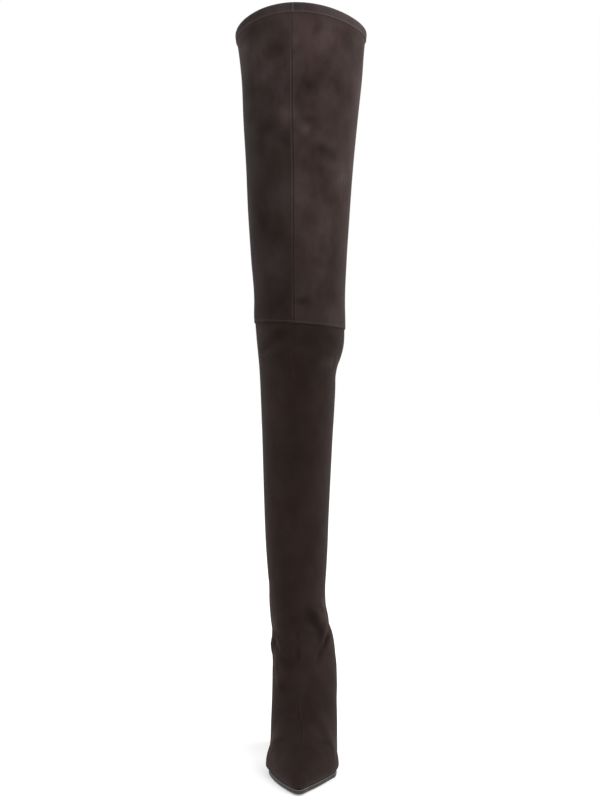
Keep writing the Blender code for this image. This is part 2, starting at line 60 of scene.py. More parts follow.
# Foot sizes
FOOT_LENGTH = 0.246
HEEL_OVERHANG = 0.036
HEEL_HEIGHT = 0.100
BALL_WIDTH = 0.080
INSTEP_HEIGHT = 0.066
TOE_SPRING = 0.0015
NOSE_BULGE = 0.0010

# Leg sizes, heights above the heel seat
ANKLE_RISE = 0.066
ANKLE_WIDTH = 0.067
ANKLE_DEPTH = 0.088
CALF_WIDTH = 0.0876
CALF_DEPTH = 0.117
KNEE_RISE = 0.3918
KNEE_WIDTH = 0.1063
KNEE_DEPTH = 0.1175
KNEE_TILT = 0.0075
TOP_RISE = 0.739
TOP_WIDTH = 0.1530
TOP_DEPTH = 0.163
FRONT_PEAK = 0.014
MOUTH_TILT = 0.003
SHAFT_TURN = radians(12)

# Where the shaft's slants start and end: shares of the leg below the knee, and of the thigh
SLANT_START = 0.8
SLANT_END = 0.25
MOUTH_START = 0.7

# Material thicknesses and clearances
WALL = 0.0018
LAP_STEP = 0.0011
BAND_HEIGHT = 0.0095
BAND_THICKNESS = 0.0034
BAND_PROUD = 0.0008
SOLE_THICKNESS = 0.0045
SOLE_MARGIN = 0.0008
INSOLE_TOE = 0.984
GAP = 0.0003

# Heel sizes
HEEL_BREAST = 0.052
HEEL_INSET = 0.0006
LIFT_WIDTH = 0.040
LIFT_DEPTH = 0.038
LIFT_THICKNESS = 0.006

# Mesh divisions of one section: crown to belly, belly to feather line, across the bottom
CROWN_STEPS = 36
BELLY_STEPS = 12
BASE_STEPS = 24

# Corner between side and back of a leg section, and how far up it is widest
BACK_CORNER = radians(140)
SHAFT_BELLY = 0.5

# Rounded heel seat: shares of foot length where it starts and turns, and its last rung
SEAT_ARC_START = 0.11
SEAT_CORNER = 0.065
LAST_RUNG = radians(88)

# Step over which the slope of the underside is read
SLOPE_STEP = FOOT_LENGTH / 500

# Underside of the last: shares of foot length from the heel back, and of heel height
BottomRow = namedtuple("BottomRow", "along rise")
BOTTOM_LINE = table(BottomRow, [
    (0.00, 1.000),
    (0.06, 0.975),
    (0.13, 0.925),
    (0.20, 0.853),
    (0.28, 0.720),
    (0.36, 0.545),
    (0.44, 0.355),
    (0.50, 0.205),
    (0.54, 0.120),
    (0.58, 0.048),
    (0.61, 0.014),
    (0.64, 0.000),
    (0.76, 0.000),
    (1.00, 0.000),
])
SPRING_START = 0.76

# Feather line, where upper and sole meet: half widths as shares of ball width
FeatherRow = namedtuple("FeatherRow", "along outer inner")
FEATHER_LINE = table(FeatherRow, [
    (0.110, 0.315, 0.312),
    (0.170, 0.312, 0.302),
    (0.240, 0.298, 0.272),
    (0.320, 0.290, 0.252),
    (0.380, 0.306, 0.255),
    (0.440, 0.345, 0.280),
    (0.500, 0.400, 0.328),
    (0.560, 0.452, 0.382),
    (0.610, 0.471, 0.424),
    (0.660, 0.472, 0.440),
    (0.720, 0.446, 0.424),
    (0.780, 0.400, 0.334),
    (0.840, 0.336, 0.240),
    (0.900, 0.260, 0.138),
    (0.950, 0.190, 0.046),
    (0.975, 0.148, 0.006),
    (0.990, 0.119, -0.025),
    (0.996, 0.104, -0.038),
    (0.999, 0.088, -0.054),
])

# Foot sections, toe to heel. along: foot of the section on the bottom line. fore: its crown.
# tall: crown height over the bottom line. outer and inner: belly half widths. belly: its level.
# ridge: how far across the crown lies.
FootRow = namedtuple("FootRow", "along fore tall outer inner belly ridge")
FOOT_SECTIONS = table(FootRow, [
    (0.996, 0.997, 0.075, 0.118, -0.028, 0.40, -0.072),
    (0.984, 0.986, 0.155, 0.155, 0.016, 0.38, -0.070),
    (0.960, 0.964, 0.222, 0.200, 0.062, 0.35, -0.066),
    (0.919, 0.927, 0.298, 0.258, 0.142, 0.32, -0.058),
    (0.862, 0.874, 0.398, 0.336, 0.248, 0.27, -0.046),
    (0.797, 0.817, 0.503, 0.412, 0.362, 0.18, -0.032),
    (0.732, 0.764, 0.624, 0.478, 0.445, 0.12, -0.018),
    (0.667, 0.715, 0.776, 0.521, 0.478, 0.10, -0.004),
    (0.610, 0.673, 0.930, 0.486, 0.463, 0.14, 0.008),
    (0.553, 0.630, 1.000, 0.464, 0.466, 0.24, 0.014),
    (0.496, 0.587, 1.015, 0.459, 0.470, 0.34, 0.014),
    (0.435, 0.545, 0.992, 0.452, 0.469, 0.40, 0.010),
    (0.370, 0.502, 0.962, 0.449, 0.478, 0.43, 0.004),
    (0.301, 0.461, 0.925, 0.450, 0.477, 0.45, -0.004),
    (0.232, 0.427, 0.897, 0.453, 0.463, 0.46, -0.014),
    (0.167, 0.400, 0.912, 0.463, 0.452, 0.47, -0.024),
    (0.110, 0.382, 0.973, 0.470, 0.432, 0.48, -0.034),
    (0.065, 0.370, 1.045, 0.466, 0.398, 0.49, -0.044),
])
TOE_STATION = 0.996

# Ankle sections, fanned round the heel. back and front: heights as shares of ankle rise.
# width and depth: shares of the ankle. outer and ahead: the part outside and before the axis.
AnkleRow = namedtuple("AnkleRow", "back front width outer depth ahead")
ANKLE_SECTIONS = table(AnkleRow, [
    (0.245, 1.139, 1.025, 0.572, 1.056, 0.575),
    (0.488, 1.276, 1.004, 0.600, 1.050, 0.569),
    (0.730, 1.412, 0.998, 0.611, 1.025, 0.579),
    (0.973, 1.564, 1.000, 0.612, 1.005, 0.588),
    (1.245, 1.730, 1.034, 0.611, 1.000, 0.591),
    (1.533, 1.912, 1.066, 0.610, 1.011, 0.584),
    (1.850, 2.109, 1.097, 0.609, 1.043, 0.564),
])

# Leg sections below the knee seam: rise is a share of the knee's, shares of calf or knee sizes
LegRow = namedtuple("LegRow", "rise width outer depth ahead")
SHIN_SECTIONS = table(LegRow, [
    (0.400, 0.865 * CALF_WIDTH, 0.608, 0.838 * CALF_DEPTH, 0.526),
    (0.484, 0.897 * CALF_WIDTH, 0.602, 0.896 * CALF_DEPTH, 0.494),
    (0.573, 0.930 * CALF_WIDTH, 0.594, 0.944 * CALF_DEPTH, 0.475),
    (0.661, 0.962 * CALF_WIDTH, 0.586, 0.979 * CALF_DEPTH, 0.468),
    (0.750, 1.000 * CALF_WIDTH, 0.578, 1.000 * CALF_DEPTH, 0.470),
    (0.813, 1.025 * CALF_WIDTH, 0.575, 1.010 * CALF_DEPTH, 0.479),
    (0.854, 1.039 * CALF_WIDTH, 0.576, 1.010 * CALF_DEPTH, 0.488),
    (0.884, 0.885 * KNEE_WIDTH, 0.566, 1.003 * KNEE_DEPTH, 0.496),
    (0.913, 0.932 * KNEE_WIDTH, 0.549, 1.000 * KNEE_DEPTH, 0.504),
    (0.943, 0.970 * KNEE_WIDTH, 0.539, 0.996 * KNEE_DEPTH, 0.513),
    (0.972, 0.990 * KNEE_WIDTH, 0.538, 0.997 * KNEE_DEPTH, 0.521),
    (1.000, 1.000 * KNEE_WIDTH, 0.541, 1.000 * KNEE_DEPTH, 0.528),
])

# Thigh sections: rise runs from the knee seam to the collar top
THIGH_SECTIONS = table(LegRow, [
    (0.000, 1.000 * KNEE_WIDTH, 0.541, 1.000 * KNEE_DEPTH, 0.528),
    (0.030, 1.006 * KNEE_WIDTH, 0.543, 1.005 * KNEE_DEPTH, 0.528),
    (0.080, 1.000 * KNEE_WIDTH, 0.544, 1.015 * KNEE_DEPTH, 0.527),
    (0.235, 1.055 * KNEE_WIDTH, 0.549, 1.075 * KNEE_DEPTH, 0.525),
    (0.390, 0.779 * TOP_WIDTH, 0.546, 0.830 * TOP_DEPTH, 0.524),
    (0.545, 0.820 * TOP_WIDTH, 0.537, 0.876 * TOP_DEPTH, 0.528),
    (0.700, 0.874 * TOP_WIDTH, 0.527, 0.920 * TOP_DEPTH, 0.533),
    (0.855, 0.927 * TOP_WIDTH, 0.514, 0.961 * TOP_DEPTH, 0.540),
    (0.935, 0.960 * TOP_WIDTH, 0.517, 0.982 * TOP_DEPTH, 0.543),
    (1.000, 1.000 * TOP_WIDTH, 0.520, 1.000 * TOP_DEPTH, 0.543),
])

# Heel block, tip to seat: rise share, and how far width, back and breast have opened out
HeelRow = namedtuple("HeelRow", "rise spread back breast")
HEEL_SECTIONS = table(HeelRow, [
    (0.00, 0.00, 0.00, 0.00),
    (0.18, 0.03, 0.03, -0.05),
    (0.38, 0.10, 0.12, 0.00),
    (0.58, 0.26, 0.30, 0.15),
    (0.76, 0.50, 0.56, 0.42),
    (0.90, 0.79, 0.83, 0.76),
    (1.00, 1.00, 1.00, 1.00),
])

# Divisions of the dense skins. NOSE_TIP keeps the innermost ring of the nose open.
HALF_COUNT = 50
SIDE_PLACES = 2 * HALF_COUNT + 1
FOOT_ROWS = 110
THIGH_ROWS = 150
NOSE_ROWS = 4
NOSE_TIP = 0.3
ROW_STEP = 0.0022
SOLE_ROWS = 130
SEAT_ROWS = 22
PLATE_COLUMNS = 6
HEEL_ROWS = 30

# Front seam: its line, over the levels above the floor
SeamRow = namedtuple("SeamRow", "level x")
SEAM_LINE = table(SeamRow, [
    (0.000, -0.0050),
    (0.045, -0.0016),
    (0.058, -0.0026),
    (0.064, -0.0048),
    (0.076, -0.0056),
    (0.118, -0.0038),
    (0.300, -0.0080),
    (0.439, -0.0100),
    (0.460, -0.0122),
    (0.501, -0.0106),
    (0.568, -0.0112),
    (0.653, -0.0112),
    (0.749, -0.0127),
    (0.806, -0.0127),
    (0.860, -0.0121),
])

# How strongly its groove and the lips on its outer and inner side show. The groove is also painted
# with shade and the lips with a painted highlight.
ShowRow = namedtuple("ShowRow", "level groove outer inner")
SEAM_SHOW = table(ShowRow, [
    (0.000, 0.0, 0.0, 0.0),
    (0.041, 0.0, 0.0, 0.0),
    (0.045, 0.9, 0.0, 1.0),
    (0.056, 0.9, 0.0, 1.0),
    (0.059, 0.1, 0.0, 0.4),
    (0.063, 0.9, 0.0, 0.9),
    (0.076, 0.7, 0.0, 0.5),
    (0.084, 0.0, 0.0, 0.0),
    (0.430, 0.0, 0.0, 0.0),
    (0.440, 0.0, 0.5, 0.0),
    (0.458, 0.1, 0.6, 0.0),
    (0.466, 0.0, 0.0, 0.0),
    (0.496, 0.0, 0.0, 0.0),
    (0.498, 0.8, 0.6, 0.2),
    (0.560, 0.8, 0.5, 0.3),
    (0.650, 0.8, 1.0, 0.3),
    (0.795, 0.8, 1.0, 0.3),
    (0.812, 0.3, 0.25, 0.1),
    (0.860, 0.3, 0.25, 0.1),
])

# Its mesh and its cross-section
SEAM_STEPS = (0.0004, 0.0008, 0.0013, 0.0018, 0.0023, 0.0029, 0.0038)
SEAM_ROOM = 0.020
SEAM_NEAREST = 0.3
OFF_SEAM = 1.0
SEAM_GROOVE = 0.0006
SEAM_DEPTH = 0.0006
OUTER_LIP = 0.0020
INNER_LIP = 0.0010
SEAM_LIP_WIDTH = 0.0005
SEAM_LIFT = 0.0003

# Painted shade where the upper meets the sole and goes under the knee lap, fainter at the outer side
JOIN_SHADE = 0.7
JOIN_REACH = 0.0015
JOIN_START = 1.2
JOIN_OUTER = 0.3
JOIN_FAINT_FROM = -0.030
JOIN_FAINT_SPREAD = 0.020

# Folds pressed into the skin, with painted shade in their troughs and a painted highlight on their
# ridges. side: seen from the front or the back. path: places across, from the outer edge at -1 to
# the inner edge at 1, and levels above the floor.
FoldRow = namedtuple("FoldRow", "side depth width path")
FOLDS = table(FoldRow, [
    # below the knee
    ("front", -0.0007, 0.0020, [(0.02, 0.4948), (0.26, 0.4917), (0.50, 0.4922), (0.66, 0.4945)]),
    ("front", -0.0009, 0.0042, [(-0.97, 0.4860), (-0.82, 0.4905), (-0.66, 0.4940)]),
    ("front", 0.0021, 0.0054, [(-0.22, 0.4900), (-0.45, 0.4852), (-0.63, 0.4776), (-0.90, 0.4660)]),
    ("front", -0.0009, 0.0030, [(-0.95, 0.4590), (-0.80, 0.4625), (-0.62, 0.4665), (-0.44, 0.4690)]),
    ("front", 0.0004, 0.0060, [(0.05, 0.481), (0.22, 0.476), (0.40, 0.476)]),
    ("front", 0.0014, 0.0080, [(0.34, 0.4861), (0.54, 0.4795), (0.79, 0.4685), (0.98, 0.4630)]),
    ("front", -0.0008, 0.0024, [(0.92, 0.4640), (0.92, 0.4559), (0.94, 0.4460)]),
    ("front", -0.0018, 0.0060, [(0.44, 0.4480), (0.64, 0.4519), (0.82, 0.4560)]),
    # ankle
    ("front", 0.0023, 0.0056, [(0.28, 0.168), (0.42, 0.160), (0.52, 0.153), (0.60, 0.146),
     (0.64, 0.138)]),
    ("front", -0.0018, 0.0036, [(0.90, 0.172), (0.92, 0.160), (0.90, 0.150)]),
    ("front", -0.0017, 0.0026, [(0.95, 0.153), (0.88, 0.1470), (0.74, 0.1380), (0.62, 0.1310),
     (0.50, 0.1235)]),
    ("front", 0.0027, 0.0025, [(0.98, 0.1420), (0.88, 0.1380), (0.70, 0.1320), (0.52, 0.1215),
     (0.43, 0.1140)]),
    ("front", 0.0004, 0.0024, [(-0.99, 0.1450), (-0.92, 0.1430), (-0.84, 0.1400)]),
    ("front", -0.0012, 0.0024, [(-0.97, 0.1360), (-0.86, 0.1345), (-0.76, 0.1290), (-0.70, 0.1240)]),
    ("front", 0.0009, 0.0045, [(-0.90, 0.1270), (-0.74, 0.1210), (-0.62, 0.1160)]),
    ("front", -0.0026, 0.0055, [(-0.99, 0.1350), (-0.99, 0.1250), (-0.99, 0.1160)]),
    ("front", 0.0005, 0.0026, [(-0.99, 0.1120), (-0.93, 0.1135)]),
    ("front", -0.0010, 0.0024, [(-0.96, 0.1140), (-0.92, 0.1050), (-0.87, 0.0960), (-0.82, 0.0880)]),
    ("front", 0.0006, 0.0040, [(-0.68, 0.1160), (-0.43, 0.1130)]),
    ("front", 0.0007, 0.0050, [(0.10, 0.108), (0.24, 0.101), (0.34, 0.088)]),
    ("front", 0.0009, 0.0040, [(-0.74, 0.090), (-0.48, 0.086)]),
    ("front", 0.0014, 0.0021, [(-0.15, 0.1470), (-0.18, 0.1365)]),
    ("front", 0.0016, 0.0020, [(-0.17, 0.1300), (-0.18, 0.1230), (-0.19, 0.1160)]),
    # vamp, where the ball of the foot bends it
    # the first two are low ridges whose painted highlight lightens the slope change above the toe box
    ("front", -0.0004, 0.0045, [(-0.16, 0.0640), (-0.24, 0.0564), (-0.42, 0.0491), (-0.64, 0.0415)]),
    ("front", -0.0003, 0.0045, [(-0.04, 0.0635), (0.11, 0.0574), (0.31, 0.0501), (0.57, 0.0425)]),
    ("front", 0.0005, 0.0026, [(0.26, 0.0413), (0.58, 0.0385), (0.88, 0.0330)]),
    ("front", 0.0008, 0.0022, [(-0.93, 0.0370), (-0.68, 0.0392)]),
    ("front", -0.0006, 0.0030, [(-0.96, 0.0318), (-0.92, 0.0240)]),
    ("front", -0.0006, 0.0030, [(0.92, 0.0315), (0.92, 0.0215)]),
    # back of knee and ankle, out of the photograph's sight
    ("back", 0.0018, 0.0060, [(-0.85, 0.486), (-0.20, 0.478), (0.50, 0.484), (0.90, 0.492)]),
    ("back", 0.0013, 0.0055, [(-0.80, 0.462), (0.00, 0.456), (0.75, 0.464)]),
    ("back", 0.0018, 0.0050, [(-0.90, 0.166), (-0.10, 0.158), (0.85, 0.166)]),
    ("back", 0.0012, 0.0045, [(-0.70, 0.188), (0.20, 0.182), (0.80, 0.190)]),
])
THIGH_FOLDS = table(FoldRow, [
    ("front", 0.0011, 0.0060, [(-0.95, 0.8270), (-0.78, 0.8300), (-0.59, 0.8340)]),
    ("front", 0.0010, 0.0045, [(0.62, 0.8350), (0.77, 0.8320), (0.92, 0.8280)]),
    ("front", 0.0012, 0.0100, [(-0.50, 0.812), (-0.40, 0.792)]),
    ("front", -0.0011, 0.0070, [(-0.80, 0.795), (-0.58, 0.815), (-0.36, 0.836)]),
    ("front", -0.0009, 0.0120, [(0.05, 0.824), (0.30, 0.810)]),
    ("front", -0.0009, 0.0080, [(0.52, 0.792), (0.70, 0.776)]),
    ("front", 0.0012, 0.0090, [(-0.86, 0.772), (-0.70, 0.758)]),
    ("front", 0.0011, 0.0090, [(-0.02, 0.764), (0.24, 0.758)]),
    ("front", 0.0012, 0.0100, [(-0.90, 0.742), (-0.60, 0.726)]),
    ("front", 0.0010, 0.0100, [(-0.65, 0.640), (-0.55, 0.600)]),
    ("front", -0.0010, 0.0120, [(0.30, 0.640), (0.55, 0.600)]),
    ("front", 0.0012, 0.0070, [(0.00, 0.527), (0.16, 0.521)]),
    ("back", 0.0014, 0.0110, [(-0.60, 0.600), (0.10, 0.585), (0.60, 0.600)]),
    ("back", 0.0012, 0.0120, [(-0.40, 0.720), (0.50, 0.700)]),
    ("back", 0.0014, 0.0070, [(-0.70, 0.535), (0.10, 0.528), (0.75, 0.538)]),
])

# Patches of laid nap on the front, some of them painted highlights and painted shade: x, level, half
# width and half height of each patch, and how light it is
NapRow = namedtuple("NapRow", "x level wide tall light")
LOWER_NAP_AND_PAINTED_LIGHT = table(NapRow, [
    # below the knee
    (-0.027, 0.485, 0.008, 0.007, -0.7),
    (0.032, 0.478, 0.012, 0.013, -0.4),
    (0.007, 0.475, 0.012, 0.006, -0.3),
    (0.026, 0.450, 0.010, 0.010, 0.8),
    (-0.043, 0.446, 0.007, 0.009, 0.3),
    # ankle
    (0.013, 0.182, 0.010, 0.009, 0.3),
    # strips of painted highlight along the ankle's outline and folds
    (0.0255, 0.161, 0.004, 0.015, 3.2),
    (-0.0325, 0.142, 0.0025, 0.0035, 2.2),
    (-0.0335, 0.112, 0.002, 0.006, 1.2),
    (-0.0305, 0.096, 0.002, 0.008, 0.9),
    (0.011, 0.159, 0.008, 0.008, -0.7),
    (0.021, 0.145, 0.006, 0.006, -0.5),
    (0.005, 0.127, 0.012, 0.011, 0.3),
    (-0.021, 0.112, 0.006, 0.004, -0.5),
    (0.024, 0.108, 0.010, 0.009, 0.4),
    (-0.025, 0.100, 0.006, 0.009, 0.3),
    (-0.023, 0.085, 0.007, 0.007, -0.3),
    # vamp and toe
    (0.023, 0.059, 0.009, 0.012, 0.25),
    (-0.023, 0.059, 0.009, 0.009, -0.6),
    (-0.022, 0.031, 0.009, 0.007, 0.4),
    # strips of painted highlight along the toe's sides
    (-0.035, 0.028, 0.004, 0.009, 2.0),
    (0.034, 0.029, 0.002, 0.008, 1.2),
    (0.024, 0.037, 0.010, 0.003, -0.5),
    (0.009, 0.030, 0.013, 0.004, -0.4),
    (0.001, 0.020, 0.010, 0.012, -0.3),
    (0.022, 0.018, 0.010, 0.010, -0.3),
])
THIGH_NAP_AND_PAINTED_LIGHT = table(NapRow, [
    # under the collar
    (-0.060, 0.831, 0.014, 0.009, -0.8),
    (0.054, 0.828, 0.010, 0.006, -0.6),
    (0.016, 0.816, 0.016, 0.020, 0.8),
    (-0.030, 0.805, 0.009, 0.011, -0.6),
    (0.048, 0.805, 0.009, 0.006, 0.4),
    (0.031, 0.788, 0.008, 0.010, 0.5),
    # upper thigh
    (0.018, 0.774, 0.016, 0.005, -0.3),
    (-0.056, 0.767, 0.008, 0.006, -0.3),
    (0.005, 0.765, 0.010, 0.007, -0.45),
    (0.041, 0.763, 0.007, 0.009, -0.4),
    (0.002, 0.743, 0.013, 0.006, -0.4),
    (0.051, 0.742, 0.006, 0.012, 0.4),
    (-0.021, 0.730, 0.006, 0.012, 1.4),
    (0.009, 0.728, 0.011, 0.004, -0.7),
    (-0.038, 0.723, 0.013, 0.010, -1.0),
    (0.002, 0.716, 0.006, 0.005, 0.9),
    (0.017, 0.714, 0.004, 0.006, 0.5),
    (-0.023, 0.705, 0.009, 0.009, -0.5),
    (-0.057, 0.701, 0.010, 0.011, -0.6),
    (0.022, 0.696, 0.009, 0.006, -0.7),
    (0.032, 0.690, 0.009, 0.007, -0.9),
    (0.021, 0.679, 0.012, 0.006, 0.4),
    (0.046, 0.667, 0.006, 0.009, 0.9),
    (-0.044, 0.658, 0.015, 0.014, -0.6),
    # lower thigh
    (0.010, 0.644, 0.004, 0.009, -0.4),
    (0.030, 0.635, 0.016, 0.022, 0.35),
    (0.018, 0.595, 0.016, 0.018, 0.25),
    (-0.047, 0.595, 0.015, 0.020, -0.4),
    (-0.001, 0.522, 0.010, 0.005, -1.1),
    (0.036, 0.508, 0.009, 0.008, 0.4),
])

# How folds are found on the skin, and their ends and cross-section in widths of the fold
FOLD_REACH = 0.003
FOLD_STEP = 0.0015
FOLD_SCALE = 0.003
FOLD_END = 0.02
FOLD_TAPER = 0.6
FOLD_ROOM = 4
RIDGE_PLACE = 1.9
RIDGE_SHARE = 0.35

# Where folds fade out: above the sole, under the knee lap, and at the foot of the thigh panel
FOLDS_FROM = 0.001
SOLE_FADE = 0.008
FOLDS_PAST = 0.006
LAP_FADE = 0.010
THIGH_FADE = 0.006

# How far the thigh panel runs on under the collar, as a share of the thigh
THIGH_TUCK = 0.004

# Tones: the patches of nap and painted light, the painted light on the half inside the front seam and
# the painted shade on the half outside it, the painted shade on the outer side, and the calmer
# stretch below the collar, where this painted light and shade is evened out
NAP_CONTRAST = 0.45
PANEL_BLEND = 0.002
BACK_BLEND = 0.004
SIDE_SHADE = 0.5
SIDE_START = 0.035
SIDE_SPREAD = 0.025
CALM_START = 0.760
CALM_SPREAD = 0.040
CALM_PANEL = 0.30
HEEL_PANEL = 0.5

# How fast the nap of the front fades where the skin turns to the side
NAP_TURN = 2

# Collar fold, round its own section: shares of thickness and height, and how much painted highlight
# it gets on the turned lower lip and along the top
LoopRow = namedtuple("LoopRow", "out up light")
BAND_LOOP = table(LoopRow, [
    (0.30, 0.00, 0.0),
    (0.04, -0.02, 0.5),
    (-0.08, 0.02, 0.8),
    (-0.10, 0.07, 0.4),
    (-0.02, 0.13, 0.0),
    (0.02, 0.19, 0.0),
    (-0.02, 0.26, 0.0),
    (-0.07, 0.38, 0.0),
    (-0.07, 0.54, 0.0),
    (-0.03, 0.70, 0.1),
    (0.06, 0.84, 0.3),
    (0.22, 0.95, 0.6),
    (0.45, 1.00, 0.7),
    (0.68, 0.96, 0.4),
    (0.86, 0.86, 0.1),
    (0.96, 0.70, 0.0),
    (1.00, 0.50, 0.0),
    (1.00, 0.00, 0.0),
])

# Its stitches, the painted light across it, darker at the outer side, the painted shade beside the
# join over the front seam, and the painted highlight on the join
BAND_STITCH_ROW = 5
BAND_SPREAD = 0.11
BAND_GAP_SHADE = 0.6
JOIN_HIGHLIGHT = 0.9

# Edges of the plates under the foot: margin outside the feather line, depth below the last, and
# light: a painted highlight along the top corner of the sole's edge, and a little lighter near the
# bottom
EdgeRow = namedtuple("EdgeRow", "margin depth light")
SOLE_PROFILE = table(EdgeRow, [
    (-0.0016, GAP, 0.0),
    (0.0001, GAP, 0.0),
    (0.0005, GAP + 0.0001, 0.9),
    (0.0007, GAP + 0.0003, 0.25),
    (SOLE_MARGIN, GAP + 0.0006, 0.0),
    (SOLE_MARGIN, GAP + 0.0022, 0.0),
    (SOLE_MARGIN, GAP + 0.0034, 0.05),
    (0.0006, GAP + 0.0040, 0.1),
    (0.0002, GAP + 0.0044, 0.1),
    (-0.0006, GAP + SOLE_THICKNESS, 0.0),
])

SOCK_PROFILE = table(EdgeRow, [
    (-0.0021, 0.0, 0.0),
    (-0.0021, -0.0013, 0.0),
    (-0.0025, -0.0018, 0.3),
    (-0.0034, -0.0020, 0.0),
])

# Edge of the wearing piece, from the floor up: inset and level
LIFT_PROFILE = (
    (0.0007, 0.0),
    (0.0002, 0.0003),
    (0.0, 0.0009),
    (0.0, LIFT_THICKNESS - 0.0008),
    (0.0002, LIFT_THICKNESS - 0.0002),
    (0.0006, LIFT_THICKNESS),
)

# Stitches
KNEE_STITCH_ROW = 1
STITCH_STEP = 0.0034
STITCH_LENGTH = 0.0025
STITCH_RADIUS = 0.00026
STITCH_RINGS = 5
STITCH_SIDES = 6
STITCH_BOW = 1.1
STITCH_SINK = 0.7
STITCH_END = 0.55

# Colours of the suede pieces. shade and seam_shade: strength of the painted shade in creases and in
# the seam and joins. ridge and edge_light: strength of the painted highlight on ridges and edges, in
# its own tone. low and high: how much lighter or darker the colour is at the levels foot and head.
# panel: how much lighter the inner half is painted than the outer.
Look = namedtuple("Look", "dark middle light cool warm shade ridge seam_shade edge_light rubbed "
                          "sheen sheen_tint foot head low high panel")
LOWER_LOOK = Look((0.0125, 0.0068, 0.0055), (0.0172, 0.0100, 0.0081), (0.0225, 0.0140, 0.0116),
                  (0.88, 0.97, 1.02), (1.12, 0.98, 0.95), 0.38, 0.22, 0.5, 0.22,
                  (0.060, 0.044, 0.040), 0.046, (1.0, 0.86, 0.82), 0.02, 0.49, 1.04, 0.82, 0.02)
THIGH_LOOK = Look((0.0152, 0.0087, 0.0068), (0.0246, 0.0158, 0.0140), (0.0345, 0.0246, 0.0234),
                  (0.95, 0.97, 1.03), (1.12, 0.97, 1.00), 0.35, 0.22, 0.5, 0.30,
                  (0.085, 0.068, 0.064), 0.050, (1.0, 0.90, 0.88), 0.50, 0.85, 0.82, 1.20, 0.38)
BAND_LOOK = Look((0.022, 0.0150, 0.0140), (0.034, 0.0250, 0.0240), (0.048, 0.0370, 0.0365),
                 (0.90, 0.99, 0.98), (1.12, 0.97, 1.00), 0.35, 0.22, 0.6, 0.45,
                 (0.125, 0.100, 0.096), 0.055, (1.0, 0.92, 0.90), 0.80, 0.86, 1.0, 1.0, 0.60)

# Colours of the painted shade in deep creases, and in the seam's groove and joins
CREASE_SHADE_COLOUR = (0.006, 0.0038, 0.0030)
SEAM_SHADE_COLOUR = (0.006, 0.0040, 0.0034)

# Noises of the suede, in its own space: scale, detail, roughness and stretch
PATCHES = (32, 2, 0.5, (1, 1, 0.75))
STROKES = (115, 3, 0.5, (1, 1, 0.6))
TINTS = (34, 2)
FIBRES = (1700, 3, 0.7)

# Noises of the plain materials: detail and roughness
CLOUD = (4, 0.6)
FINE = (3, 0.6)

# Values at which a noise counts as low and as high, for a soft and for a crisper mottle
NOISE_LOW = 0.30
NOISE_MIDDLE = 0.50
NOISE_HIGH = 0.70
MOTTLE_LOW = 0.35
MOTTLE_HIGH = 0.65

# How the noises colour the suede, and how it takes light
PATCH_SHARE = 0.72
TINT_SHARE = 0.35
FIBRE_SHADES = (0.72, 1.25)
SUEDE_ROUGHNESS = (0.84, 0.97)
SUEDE_GLOSS = 0.10
SHEEN_ROUGHNESS = 0.42
STROKE_BUMP = (0.5, 0.0008)
FIBRE_BUMP = (0.55, 0.00035)

# Leather, lining, rubber and thread: two mottled colours, and the colour of a painted highlight on an
# edge
PlainRow = namedtuple("PlainRow", "name first second scale rough grain gloss edge")
PLAIN_LOOKS = table(PlainRow, [
    ("lining", (0.10, 0.075, 0.055), (0.13, 0.10, 0.075), 300, (0.75, 0.9), 0.25, 0.5, None),
    ("sock_lining", (0.12, 0.085, 0.06), (0.15, 0.11, 0.08), 120, (0.5, 0.65), 0.2, 0.5, None),
    ("sole_edge", (0.026, 0.0235, 0.023), (0.044, 0.040, 0.039), 160, (0.5, 0.62), 0.15, 0.15,
     (0.34, 0.308, 0.297)),
    ("sole_tread", (0.028, 0.024, 0.022), (0.045, 0.039, 0.036), 90, (0.45, 0.65), 0.3, 0.5, None),
    ("lift_rubber", (0.010, 0.010, 0.010), (0.018, 0.018, 0.018), 200, (0.55, 0.7), 0.2, 0.5, None),
    ("thread", (0.026, 0.018, 0.016), (0.040, 0.029, 0.026), 900, (0.6, 0.8), 0.2, 0.5, None),
])

# Strength of the painted edge highlight, fine grain of the plain materials, and the angle of a hard
# edge
EDGE_HIGHLIGHT_SHARE = 0.9
FINE_SCALE = 9
FINE_DEPTH = 0.0004
SHARP_ANGLE = radians(50)

# Camera, room and lights
CAMERA_PLACE = (-0.0042, -1.54, 0.409)
CAMERA_LENS = 51.52
CAMERA_SENSOR = 32
CAMERA_REACH = 50
FLOOR_SIZE = 40
FLOOR_DROP = 0.0002
FLOOR_COLOUR = (0.86, 0.86, 0.86, 1.0)
FLOOR_ROUGHNESS = 0.9
FLOOR_GLOW = 0.30
WHITE = (1.0, 1.0, 1.0, 1.0)
ROOM_LIGHT = 1.0
LightRow = namedtuple("LightRow", "name place aim size power colour")
LIGHTS = table(LightRow, [
    ("key", (1.0, -1.7, 1.75), (0, 0, 0.55), (1.2, 1.2), 12, (1.0, 0.97, 0.96)),
    ("fill", (-1.3, -1.9, 1.0), (0, 0, 0.40), (1.4, 1.4), 1, (1, 1, 1)),
    ("back_right", (1.3, 0.5, 1.2), (0, 0, 0.45), (0.8, 1.8), 11, (1.0, 0.94, 0.93)),
])

# Level of the heel seat, and the side points of a section with the crown in their middle
SEAT_LEVEL = HEEL_HEIGHT + SOLE_THICKNESS + GAP
SIDE_COUNT = 2 * (CROWN_STEPS + BELLY_STEPS) + 1
MIDDLE = CROWN_STEPS + BELLY_STEPS


